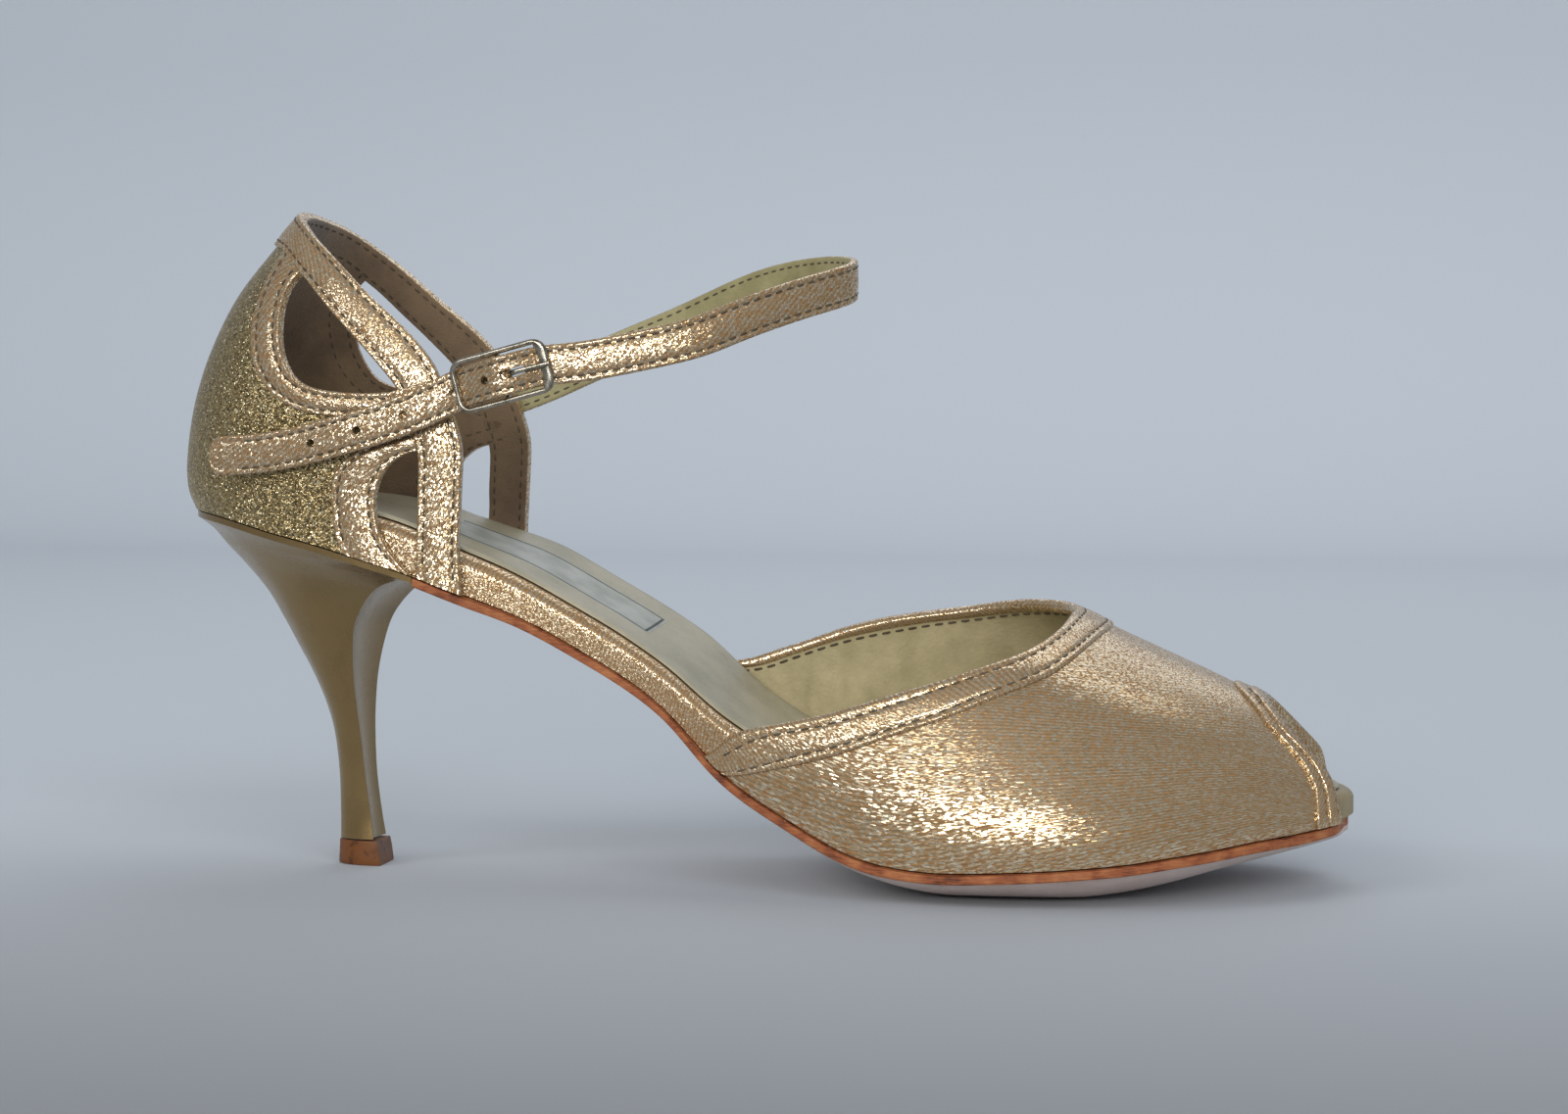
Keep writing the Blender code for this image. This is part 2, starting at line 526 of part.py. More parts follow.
def build_heel(look):
    """The moulded heel: D-shaped rings from the top piece to the seat, whose edge follows the heel cup."""
    cx, sy = (np.array(c, float) for c in zip(*HEEL_SECTION))
    m = 10
    run = np.concatenate([[0], np.cumsum(np.hypot(np.diff(cx), np.diff(sy)))])
    at = np.linspace(0, run[-1], m + 1)
    along, wide = np.interp(at, run, cx), np.interp(at, run, sy)
    front = HEEL_SEAT_FRONT * SOLE_LENGTH
    loop = outline(GAP + COUNTER_WALL)
    tip = int(np.argmax(loop[:, 0]))
    side = loop[:tip][loop[:tip, 0] < front][::-1]
    side = np.vstack([[front, np.interp(front, loop[:tip, 0], loop[:tip, 1])], side])
    run = np.concatenate([[0], np.cumsum(np.linalg.norm(np.diff(side, axis=0), axis=1))])
    at = np.linspace(0, run[-1], m + 1)
    seat = np.stack([np.interp(at, run, side[:, 0]), np.abs(np.interp(at, run, side[:, 1]))], 1)
    rings = []
    for xb, zb, xf, zf, width in HEEL_RINGS:
        xb, xf = xb * SOLE_LENGTH, xf * SOLE_LENGTH
        low = TIP_HEIGHT + GAP
        zb, zf = max(zb * HEEL_HEIGHT, low), max(zf * HEEL_HEIGHT, low)
        x = xf + (xb - xf) * along
        y = 0.5 * width * HALF_WIDTH * wide
        z = zf + (zb - zf) * along
        rings.append(ring_of(x, y, z, 0.07 * width * HALF_WIDTH))
    rings.append(ring_of(seat[:, 0], seat[:, 1], feather(seat[:, 0]) - 0.0012, 0))
    rings.append(ring_of(seat[:, 0], seat[:, 1], feather(seat[:, 0]), 0))
    n = len(rings[0])
    points = np.vstack(rings)
    faces = [tuple(range(n))[::-1]]
    for i in range(len(rings) - 1):
        faces += [(i * n + j, i * n + (j + 1) % n, (i + 1) * n + (j + 1) % n, (i + 1) * n + j) for j in range(n)]
    last = (len(rings) - 1) * n
    faces.append(tuple(last + k for k in (0, 1, 2 * m - 1, 2 * m, *range(2 * m + 1, n))))
    faces += [tuple(last + k for k in (i, i + 1, 2 * m - i - 1, 2 * m - i)) for i in range(1, m - 1)]
    faces.append(tuple(last + k for k in (m - 1, m, m + 1)))
    return solid("heel", points, faces, look)


def ring_of(x, y, z, hollow):
    """A closed ring from one half: lateral corner, back, medial corner, then across the hollowed breast."""
    half = np.stack([x, -y, z], 1)
    other = np.stack([x, y, z], 1)[::-1][1:]
    a, b = other[-1], half[0]
    breast = [a + (b - a) * t - (hollow * 4 * t * (1 - t), 0, 0) for t in (0.2, 0.4, 0.6, 0.8)]
    return np.vstack([half, other, breast])


def build_top_piece(look):
    """The heel's tip, a little prouder than the heel at the floor."""
    cx, sy = (np.array(c, float) for c in zip(*HEEL_SECTION))
    rings = []
    for z, length, width in ((0, 1, 1), (0.5, 0.95, 0.96), (1, 0.86, 0.92)):
        front = 0.5 * TIP_LENGTH * (1 if z == 0 else 0.96 - 0.12 * z)
        x = front - TIP_LENGTH * length * cx
        y = 0.5 * TIP_WIDTH * width * sy
        half = np.stack([x, -y, np.full(len(x), z * TIP_HEIGHT)], 1)
        rings.append(np.vstack([half, (half * (1, -1, 1))[::-1][1:]]))
    return loft("top_piece", rings, look)


def flank():
    """How far out the gold bands stand beside the foot, where the straps lie on them."""
    lateral_y, _, _, _ = sides(GAP + COUNTER_WALL + BAND_STEP)
    return 1.006 * float(np.max(-lateral_y(SOLE_LENGTH * np.linspace(0.04, 0.14, 21))))


def buckle_frame_axes():
    """The buckle's middle on the strap, and its directions along the strap, across it and out of it."""
    centre = Vector((BUCKLE_STATION * SOLE_LENGTH, 0, seat_level() + BUCKLE_HEIGHT * QUARTER_RISE))
    along = Vector((math.cos(BUCKLE_TILT), 0, math.sin(BUCKLE_TILT)))
    across = Vector((-math.sin(BUCKLE_TILT), 0, math.cos(BUCKLE_TILT)))
    return centre, along, across, Vector((0, -1, 0))


def place(along_m, across_m, out_m):
    """A point in the buckle's own directions, out measured from the middle of the shoe."""
    centre, along, across, out = buckle_frame_axes()
    return centre + along * along_m + across * across_m + out * out_m


def levels():
    """How far out each layer at the buckle lies: tail, centre bar, frame, strap over the bar, prong."""
    tab = flank() + GAP + 0.5 * TAB_THICKNESS
    tail = tab + 0.5 * TAB_THICKNESS + GAP + 0.5 * STRAP_THICKNESS
    bar = tab + TAB_THICKNESS + GAP + 0.5 * BUCKLE_WIRE
    frame = tail + 0.5 * STRAP_THICKNESS + GAP + 0.5 * BUCKLE_WIRE
    over = bar + 0.5 * BUCKLE_WIRE + GAP + TAB_THICKNESS + GAP + 0.5 * STRAP_THICKNESS
    prong = frame + BUCKLE_WIRE + GAP
    return tab, tail, bar, frame, over, prong


def strap_path():
    """The strap's middle line and the direction across it."""
    tab, tail, _, _, over, _ = levels()
    points, across = [], []
    medial = flank() + GAP + 0.5 * STRAP_THICKNESS
    for s, side, h in STRAP_FAR:
        y = medial * side if side > 0 else tail * side
        points.append((s * SOLE_LENGTH, y, seat_level() + h * QUARTER_RISE))
    half = 0.5 * BUCKLE_LENGTH
    for share, out in ((0.92, tail), (0.45, tail + 0.62 * (over - tail)), (0, over), (-0.45, tail + 0.62 * (over - tail)), (-0.92, tail)):
        points.append(tuple(place(share * half, 0, out)))
    for s, h in STRAP_TAIL:
        y = tail * (1 - 0.6 * max(0.0, 0.03 - s))
        points.append((s * SOLE_LENGTH, -y, seat_level() + h * QUARTER_RISE))
    path = through(points, 3)
    tangent = np.gradient(path, axis=0)
    tangent /= np.linalg.norm(tangent, axis=1)[:, None]
    up = np.array((0.0, 0.0, 1.0)) - tangent * tangent[:, 2:3]
    up /= np.linalg.norm(up, axis=1)[:, None]
    return path, tangent, up


def ribbon(name, path, tangent, up, widths, thickness, look, helper=False):
    """A flat strip along a path: widths run across it, and its long edges are eased."""
    out = np.cross(tangent, up)
    ease = 0.3 * thickness
    rings = []
    for p, u, o, width in zip(path, up, out, widths):
        a, b = 0.5 * width, 0.5 * thickness
        corners = ((a - ease, b), (a, b - ease), (a, ease - b), (a - ease, -b))
        corners += tuple((-x, y) for x, y in corners[::-1])
        rings.append(np.array([p + u * x + o * y for x, y in corners]))
    return loft(name, rings, look, helper)


def pin(name, point, axis, length, diameter):
    """A round cutter centred on a point."""
    axis = Vector(axis).normalized()
    side = axis.orthogonal().normalized()
    other = axis.cross(side)
    rings = []
    for end in (-0.5, 0.5):
        ring = []
        for k in range(8):
            a = 2 * math.pi * k / 8
            ring.append(Vector(point) + axis * end * length + (side * math.cos(a) + other * math.sin(a)) * 0.5 * diameter)
        rings.append(np.array([tuple(p) for p in ring]))
    return loft(name, rings, None, helper=True)


def box(name, centre, axes, size, look=None):
    """A cutter with its sides along the three given axes."""
    rings = []
    for end in (-0.5, 0.5):
        ring = [
            tuple(Vector(centre) + axes[0] * size[0] * end + axes[1] * size[1] * a + axes[2] * size[2] * b)
            for a, b in ((-0.5, -0.5), (0.5, -0.5), (0.5, 0.5), (-0.5, 0.5))
        ]
        rings.append(np.array(ring))
    return loft(name, rings, look, helper=True)


def build_strap(look):
    """The ankle strap: sewn to the medial bands, round the front of the ankle, through the buckle to its tail."""
    path, tangent, up = strap_path()
    widths = np.full(len(path), STRAP_WIDTH)
    widths[-1], widths[-2] = 0.62 * STRAP_WIDTH, 0.88 * STRAP_WIDTH
    strap = ribbon("ankle_strap", path, tangent, up, widths, STRAP_THICKNESS, look)
    _, along, across, out = buckle_frame_axes()
    slot = 0.26 * BUCKLE_LENGTH
    over = levels()[4]
    boolean(strap, box("cut_prong", place(0.6 * slot, 0, over), (along, across, out), (slot, 2.6 * BUCKLE_WIRE, 6 * STRAP_THICKNESS)), "DIFFERENCE")
    tail = path[np.argmax(path[:, 0]) :]
    for k, s in enumerate(STRAP_HOLES):
        point = tail[np.argmin(np.abs(tail[:, 0] - s * SOLE_LENGTH))]
        boolean(strap, pin(f"cut_hole_{k}", point, (0, 1, 0), 4 * STRAP_THICKNESS, HOLE_DIAMETER), "DIFFERENCE")
    return strap


def tube(name, path, radius, look, sides_count=8, closed=False, flat=1.0, helper=False):
    """A round bar along a path."""
    path = [Vector(p) for p in path]
    rings = []
    count = len(path)
    for i, p in enumerate(path):
        before = path[i - 1] if closed or i else path[0]
        after = path[(i + 1) % count] if closed or i + 1 < count else path[-1]
        tangent = (after - before).normalized()
        out = buckle_frame_axes()[3]
        if abs(tangent.dot(out)) > 0.95:
            out = buckle_frame_axes()[1]
        side = tangent.cross(out).normalized()
        other = side.cross(tangent).normalized()
        ring = [
            tuple(p + (side * math.cos(a) * flat + other * math.sin(a)) * radius)
            for a in (2 * math.pi * k / sides_count for k in range(sides_count))
        ]
        rings.append(np.array(ring))
    return loft(name, rings, look, closed=closed, helper=helper)


def build_buckle_frame(look):
    """A rectangle of wire with round corners and a centre bar that dips towards the foot."""
    _, _, bar, frame, _, _ = levels()
    a = 0.5 * BUCKLE_LENGTH
    b = 0.5 * STRAP_WIDTH + GAP + 0.5 * BUCKLE_WIRE + 0.0001
    corner = 0.0018
    path = []
    for cx, cy, turn in ((a - corner, b - corner, 0), (corner - a, b - corner, 1), (corner - a, corner - b, 2), (a - corner, corner - b, 3)):
        for k in range(5):
            angle = 0.5 * math.pi * (turn + k / 4)
            path.append(place(cx + corner * math.cos(angle), cy + corner * math.sin(angle), frame))
    ring = tube("buckle_frame", path, 0.5 * BUCKLE_WIRE, look, closed=True)
    dip = [(-b, frame), (-b + 0.0001, 0.5 * (frame + bar)), (-b + 0.0012, bar), (b - 0.0012, bar), (b - 0.0001, 0.5 * (frame + bar)), (b, frame)]
    centre_bar = tube("bar", [place(0, y, out) for y, out in dip], 0.45 * BUCKLE_WIRE, None, helper=True)
    boolean(ring, centre_bar, "UNION")
    return ring


def build_prong(look):
    """The buckle's prong: hooked round the centre bar, out through the strap and on to the frame's front bar."""
    _, _, bar, frame, over, prong = levels()
    hook = 0.5 * BUCKLE_WIRE + GAP + 0.0005
    a = 0.5 * BUCKLE_LENGTH
    path = [
        place(-hook, 0, bar + 0.3 * hook), place(-0.75 * hook, 0, bar - 0.66 * hook), place(0, 0, bar - hook),
        place(0.75 * hook, 0, bar - 0.66 * hook), place(hook, 0, bar), place(1.25 * hook, 0, bar + hook),
        place(1.9 * hook, 0, over), place(2.9 * hook, 0, prong + 0.0002), place(0.85 * a, 0, prong), place(a + 0.0008, 0, prong),
    ]
    return tube("buckle_prong", path, 0.42 * BUCKLE_WIRE, look, sides_count=6)


def build_tab(look):
    """The short tab that ties the buckle's centre bar to the lateral bands."""
    tab, _, bar, _, _, _ = levels()
    loop = 0.5 * BUCKLE_WIRE + GAP + 0.5 * TAB_THICKNESS
    start = -0.115 * SOLE_LENGTH
    points = [place(start, 0, tab), place(0.6 * start, 0, tab), place(0.25 * start, 0, tab), place(-0.002, 0, tab + 0.0001)]
    for k in range(7):
        angle = math.pi * (-0.5 + k / 6)
        points.append(place(loop * math.cos(angle), 0, bar + loop * math.sin(angle)))
    points.append(place(-0.0012, 0, bar + loop))
    path = np.array([tuple(p) for p in points])
    tangent = np.gradient(path, axis=0)
    tangent /= np.linalg.norm(tangent, axis=1)[:, None]
    up = np.tile(np.array(tuple(buckle_frame_axes()[2])), (len(path), 1))
    widths = np.full(len(path), 0.8 * STRAP_WIDTH)
    made = ribbon("buckle_tab", path, tangent, up, widths, TAB_THICKNESS, look)
    _, along, across, out = buckle_frame_axes()
    slot = box("cut_tab", place(0.0005, 0, bar + 0.0002), (along, across, out), (0.0052, 2.2 * BUCKLE_WIRE, 0.006))
    boolean(made, slot, "DIFFERENCE")
    return made


def build():
    for old in list(bpy.data.objects):
        bpy.data.objects.remove(old, do_unlink=True)
    gold = material("gold_foil_leather", (0.45, 0.31, 0.18), 0.38, 0.6)
    cage = material("gold_cage_and_glitter", (0.4, 0.28, 0.15), 0.45, 0.6)
    cover = material("insole_cover_leather", (0.42, 0.28, 0.16), 0.4, 0.5)
    sock = material("pale_sock_leather", (0.55, 0.54, 0.43), 0.6)
    sole = material("chrome_tanned_sole", (0.42, 0.21, 0.12), 0.75)
    lacquer = material("gold_lacquered_heel", (0.38, 0.31, 0.16), 0.3, 0.7)
    rubber = material("brown_top_piece", (0.2, 0.07, 0.02), 0.5)
    nickel = material("nickel_wire", (0.62, 0.6, 0.56), 0.22, 1.0)
    build_outsole(sole)
    build_insole(cover)
    build_sock(sock)
    build_vamp(gold)
    build_quarter(cage)
    build_heel(lacquer)
    build_top_piece(rubber)
    build_strap(gold)
    build_buckle_frame(nickel)
    build_prong(nickel)
    build_tab(gold)


build()
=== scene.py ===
"""The dressed tango sandal: a right shoe in gold foil leather, stood on pale paper under soft studio light.

Metres, +Z up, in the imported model's frame: +X runs to the toe, -Y is the lateral side with the buckle.
Each sub-assembly is a class that holds its sizes, works its surfaces out with numpy and dresses them.
"""

import logging
import math
from dataclasses import dataclass, field
from enum import Enum
from typing import Callable, Optional, Sequence, Union

import bmesh
import bpy
import numpy as np
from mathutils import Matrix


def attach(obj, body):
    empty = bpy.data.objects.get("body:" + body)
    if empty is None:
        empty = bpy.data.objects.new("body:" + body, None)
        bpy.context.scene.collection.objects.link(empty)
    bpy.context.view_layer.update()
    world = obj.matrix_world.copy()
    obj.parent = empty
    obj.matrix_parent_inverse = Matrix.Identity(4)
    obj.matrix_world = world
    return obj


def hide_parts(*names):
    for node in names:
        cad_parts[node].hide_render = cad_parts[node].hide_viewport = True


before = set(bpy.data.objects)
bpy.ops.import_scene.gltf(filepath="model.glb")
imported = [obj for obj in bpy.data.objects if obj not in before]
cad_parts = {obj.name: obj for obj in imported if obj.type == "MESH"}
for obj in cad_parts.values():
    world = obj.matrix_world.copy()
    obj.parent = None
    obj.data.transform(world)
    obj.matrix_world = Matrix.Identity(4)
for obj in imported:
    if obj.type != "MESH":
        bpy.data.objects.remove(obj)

LOG = logging.getLogger("tango_sandal")
Array = np.ndarray
Table = Sequence[tuple[float, ...]]

MM = 0.001
UV_UNIT = 0.1  # one step of a UV map is 0.1 m, so that a Mapping scale of 100 gives millimetres

SOLE_LENGTH = 0.200
HALF_WIDTH = 0.040
HEEL_HEIGHT = 0.070
QUARTER_RISE = 0.060
THROAT_HEIGHT = 0.054
INSOLE_THICKNESS = 0.007
GAP = 0.0003

# The last's bottom edge, lateral side from the back to the toe tip, then the medial side back again.
OUTLINE = (
    (-0.156, 0), (-0.14, -0.3), (-0.1, -0.5), (-0.05, -0.59), (0, -0.625), (0.075, -0.625), (0.15, -0.59),
    (0.25, -0.55), (0.35, -0.575), (0.45, -0.675), (0.55, -0.8), (0.625, -0.86), (0.7, -0.875), (0.75, -0.85),
    (0.825, -0.725), (0.9, -0.475), (0.95, -0.235), (0.978, -0.08), (0.995, 0.2), (0.978, 0.48), (0.95, 0.64),
    (0.9, 0.78), (0.825, 0.95), (0.75, 1.02), (0.7, 1.02), (0.625, 0.975), (0.55, 0.85), (0.45, 0.675),
    (0.35, 0.575), (0.25, 0.55), (0.15, 0.58), (0.075, 0.615), (0, 0.625), (-0.05, 0.59), (-0.1, 0.5),
    (-0.14, 0.3),
)
# Height of the feather line, where the upper meets the sole, by station: shares of HEEL_HEIGHT.
FEATHER = (
    (-0.18, 1.037), (-0.125, 1.023), (-0.095, 1.007), (-0.05, 0.974), (-0.007, 0.946), (0.033, 0.912),
    (0.053, 0.895), (0.093, 0.861), (0.112, 0.839), (0.136, 0.811), (0.17, 0.777), (0.208, 0.729),
    (0.246, 0.67), (0.305, 0.573), (0.344, 0.491), (0.364, 0.429), (0.384, 0.37), (0.404, 0.319),
    (0.424, 0.281), (0.464, 0.217), (0.503, 0.157), (0.542, 0.114), (0.58, 0.097), (0.618, 0.091),
    (0.655, 0.096), (0.7, 0.103), (0.745, 0.113), (0.79, 0.123), (0.833, 0.14), (0.868, 0.151),
    (0.903, 0.167), (0.957, 0.18), (0.975, 0.19), (1.01, 0.208),
)
UNDERSIDE = (
    (0.09, 0.835), (0.2, 0.7), (0.3, 0.54), (0.344, 0.449), (0.398, 0.28), (0.458, 0.17), (0.508, 0.084),
    (0.557, 0.031), (0.595, 0.006), (0.62, 0), (0.74, 0), (0.788, 0.018), (0.832, 0.046), (0.868, 0.075),
    (0.92, 0.11), (0.975, 0.146), (1.01, 0.17),
)
ARCH = ((0.09, 0), (0.15, 0.028), (0.2, 0.04), (0.33, 0.04), (0.37, 0.027), (0.4, 0.01), (0.43, 0))
PLATFORM = (
    (-0.18, 0.64), (-0.1, 0.72), (-0.05, 0.86), (0, 1.07), (0.06, 1.28), (0.14, 1.14), (0.25, 1.0),
    (0.32, 1.0), (0.37, 1.24), (0.425, 1.5), (0.475, 1.43), (0.55, 1.2), (0.65, 1.05), (0.8, 1.0), (0.94, 0.9),
    (1, 0.78),
)
RIDGE = (
    (0.32, 1.65), (0.384, 1.565), (0.45, 1.444), (0.53, 1.296), (0.6, 1.182), (0.65, 1.11), (0.7125, 1.004),
    (0.75, 0.94), (0.782, 0.886), (0.82, 0.823), (0.868, 0.742), (0.9, 0.682), (0.93, 0.6), (0.95, 0.54),
    (0.97, 0.468), (0.985, 0.385), (1.01, 0.25),
)
SECTION = (
    (0, 1), (0.2, 0.985), (0.4, 0.935), (0.6, 0.845), (0.765, 0.71), (0.87, 0.54), (0.945, 0.36), (0.993, 0.2),
    (1.008, 0.08), (1, 0),
)
LATERAL_TOPLINE = (
    (0, 0.384), (0.184, 0.4225), (0.28, 0.46), (0.378, 0.5), (0.472, 0.539), (0.552, 0.5765), (0.622, 0.6115),
    (0.698, 0.6475), (0.783, 0.6815), (0.843, 0.699), (0.914, 0.714), (0.967, 0.7215), (1, 0.724),
)
MEDIAL_TOPLINE = (
    (0, 0.33), (0.16, 0.368), (0.334, 0.4085), (0.464, 0.45), (0.577, 0.491), (0.669, 0.532), (0.74, 0.5725),
    (0.807, 0.613), (0.905, 0.668), (0.955, 0.695), (0.99, 0.715), (1, 0.724),
)
LATERAL_BINDING = (
    (0, 0.404), (0.064, 0.4285), (0.166, 0.468), (0.261, 0.505), (0.352, 0.5425), (0.433, 0.5795),
    (0.504, 0.6165), (0.588, 0.653), (0.684, 0.6895), (0.776, 0.718), (0.868, 0.7365), (0.978, 0.755),
    (1, 0.7595),
)
MEDIAL_BINDING = (
    (0, 0.36), (0.19, 0.4085), (0.325, 0.45), (0.44, 0.491), (0.53, 0.532), (0.6, 0.5725), (0.665, 0.613),
    (0.76, 0.668), (0.85, 0.7095), (0.93, 0.7375), (0.985, 0.755), (1, 0.7595),
)
TOE_STRIPS = ((0, 0.96), (0.443, 0.9585), (0.71, 0.948), (0.83, 0.93), (0.89, 0.911), (0.973, 0.8915), (1, 0.876))
TOE_OPENING = (
    (0, 0.9815), (0.26, 0.9785), (0.575, 0.974), (0.77, 0.966), (0.865, 0.9455), (0.935, 0.926), (1, 0.907),
)
QUARTER_BACK = (
    (-0.3, -0.1655), (0, -0.1655), (0.05, -0.1735), (0.13, -0.1765), (0.23, -0.174), (0.33, -0.169),
    (0.463, -0.1575), (0.597, -0.1405), (0.72, -0.12), (0.8, -0.1015), (0.887, -0.079), (1.0, -0.0505),
    (1.1, -0.032),
)
QUARTER_TAPER = ((-0.3, 1), (0, 1), (0.2, 1.005), (0.45, 0.995), (0.6, 0.95), (0.72, 0.88), (0.85, 0.79), (1.1, 0.65))
HEEL_RINGS = (
    (-0.023, 0.076, 0.0175, 0.076, 0.215), (-0.023, 0.15, 0.014, 0.15, 0.19),
    (-0.0238, 0.265, 0.009, 0.265, 0.198), (-0.028, 0.38, 0.006, 0.38, 0.248),
    (-0.036, 0.468, 0.0045, 0.466, 0.32), (-0.049, 0.556, 0.0045, 0.55, 0.41),
    (-0.065, 0.643, 0.0075, 0.636, 0.525), (-0.0795, 0.72, 0.0135, 0.71, 0.64),
    (-0.0965, 0.8, 0.027, 0.772, 0.76), (-0.118, 0.872, 0.045, 0.818, 0.91),
    (-0.139, 0.937, 0.07, 0.845, 1.11), (-0.153, 0.985, 0.09, 0.852, 1.27),
)
HEEL_SECTION = ((0, 1), (0.15, 1.0), (0.35, 0.98), (0.55, 0.9), (0.75, 0.72), (0.9, 0.46), (0.97, 0.25), (1, 0))
STRAP_FAR = (
    (0.08, 1, 0.335), (0.11, 1, 0.365), (0.14, 1, 0.4), (0.17, 1.0, 0.44), (0.205, 0.99, 0.492),
    (0.25, 0.96, 0.555), (0.3, 0.91, 0.618), (0.345, 0.82, 0.682), (0.383, 0.7, 0.732), (0.422, 0.53, 0.765),
    (0.458, 0.34, 0.779), (0.487, 0.14, 0.781), (0.506, -0.05, 0.772), (0.512, -0.22, 0.757),
    (0.504, -0.38, 0.736), (0.477, -0.53, 0.706), (0.446, -0.66, 0.668), (0.411, -0.77, 0.622),
    (0.3785, -0.86, 0.573), (0.34, -0.92, 0.542), (0.3, -0.965, 0.514), (0.2625, -1.0, 0.492),
)
STRAP_TAIL = (
    (0.122, 0.365), (0.1, 0.335), (0.076, 0.305), (0.05, 0.28), (0.0265, 0.258), (0, 0.235), (-0.0235, 0.217),
    (-0.05, 0.202), (-0.0735, 0.195), (-0.094, 0.192), (-0.107, 0.192),
)

# Bands of the quarter in side view, millimetres: (x, z) of one edge, then (x, z) of the other, rung by rung.
CAGE_BAND = (
    (28.6, 55.6, 19.7, 58.9), (28.3, 60.5, 19.75, 62.5), (28.0, 65.8, 19.8, 66.2), (28.2, 69.6, 20.0, 69.6),
    (28.4, 73.4, 20.1, 73.0), (28.8, 81.0, 20.3, 80.0), (28.8, 86.0, 20.2, 84.7), (27.2, 91.6, 18.2, 90.3),
    (24.8, 98.0, 16.6, 96.1), (23.2, 101.7, 14.3, 99.2), (20.2, 105.5, 10.6, 103.4), (16.0, 109.7, 5.9, 108.1),
    (11.5, 113.4, 1.7, 112.3), (6.3, 118.2, -2.4, 116.7), (1.3, 122.8, -5.6, 119.6), (-4.1, 127.3, -8.6, 122.6),
    (-7.8, 130.2, -12.0, 124.6),
)
COLLAR_BACK = (132.1, 125.2)
WINDOW_BAND = (
    (-9.5, 125.4, -2.0, 121.6), (-11.4, 122.0, -4.6, 119.8), (-12.8, 118.6, -7.0, 117.6), (-14.2, 114.4, -8.3, 113.9),
    (-15.1, 109.6, -8.5, 109.5), (-14.9, 105.7, -8.1, 105.4), (-14.0, 101.9, -7.2, 102.6),
    (-12.0, 98.0, -5.7, 99.9), (-8.4, 94.8, -3.9, 98.1), (-4.4, 92.7, -1.2, 96.9), (0.6, 91.5, 2.0, 96.3),
    (5.0, 91.2, 5.7, 95.9), (9.0, 91.1, 9.5, 95.8), (14.0, 90.6, 13.6, 95.9), (19.5, 91.0, 17.8, 96.4),
    (24.0, 92.3, 22.0, 97.4),
)
LOW_BAND = (
    (22.5, 89.2, 25.0, 85.8), (18.0, 87.9, 21.4, 84.9), (13.6, 86.6, 18.4, 84.3), (9.6, 85.2, 16.1, 83.1),
    (6.9, 83.8, 14.4, 81.7), (4.9, 82.2, 13.1, 79.8), (3.5, 80.2, 12.3, 77.9), (2.9, 77.4, 11.8, 75.8),
    (2.9, 74.2, 11.7, 73.4), (3.1, 70.8, 12.0, 70.8), (3.8, 67.4, 12.8, 68.0), (5.2, 64.2, 14.4, 65.2),
    (7.3, 61.0, 17.0, 62.2), (9.6, 57.6, 20.0, 58.9),
)
COUNTER_FRONT = (
    (60.0, 14.0), (62.0, 13.0), (66.0, 9.0), (72.0, 7.3), (78.0, 7.5), (82.0, 10.0), (84.5, 15.0), (86.5, 20.0),
    (88.5, 23.0), (90.5, 22.5), (92.0, 18.0), (93.6, 5.0), (95.0, -3.0), (99.0, -9.0), (104.0, -11.5),
    (110.0, -11.8), (118.0, -10.0), (122.0, -8.0), (129.0, -8.0),
)


class Slot(Enum):
    """The record's material slots; the stitching's build takes one, and nothing reads it."""

    GOLD = "gold_leather"
    CAGE = "cage"
    COVER = "insole_cover"
    SOCK = "sock"
    SOLE = "sole"
    HEEL = "heel"
    TOP_PIECE = "top_piece"
    NICKEL = "nickel"


class Side(Enum):
    """The two sides of the shoe, as the sign of y."""

    LATERAL = -1
    MEDIAL = 1


# ---------------------------------------------------------------------------------------------- curves


def hermite(table: Table, x: Array) -> Array:
    """A monotone cubic through a table: each slope is the harmonic mean of its neighbours' secants.

    Args:
        table: Pairs of place and value, places rising.
        x: Places to read, held inside the table.

    Returns:
        The values at x.
    """
    px, py = (np.array(c, float) for c in zip(*table))
    h = np.diff(px)
    d = np.diff(py) / h
    slope = np.zeros(len(px))
    same = d[:-1] * d[1:] > 0
    w1, w2 = 2 * h[1:] + h[:-1], h[1:] + 2 * h[:-1]
    inner = np.zeros(len(d) - 1)
    inner[same] = ((w1 + w2)[same]) / (w1[same] / d[:-1][same] + w2[same] / d[1:][same])
    slope[1:-1] = inner
    slope[0], slope[-1] = d[0], d[-1]
    x = np.clip(np.asarray(x, float), px[0], px[-1])
    i = np.clip(np.searchsorted(px, x, side="right") - 1, 0, len(h) - 1)
    t = (x - px[i]) / h[i]
    return (
        py[i] * (1 + 2 * t) * (1 - t) ** 2
        + slope[i] * h[i] * t * (1 - t) ** 2
        + py[i + 1] * t**2 * (3 - 2 * t)
        + slope[i + 1] * h[i] * t**2 * (t - 1)
    )


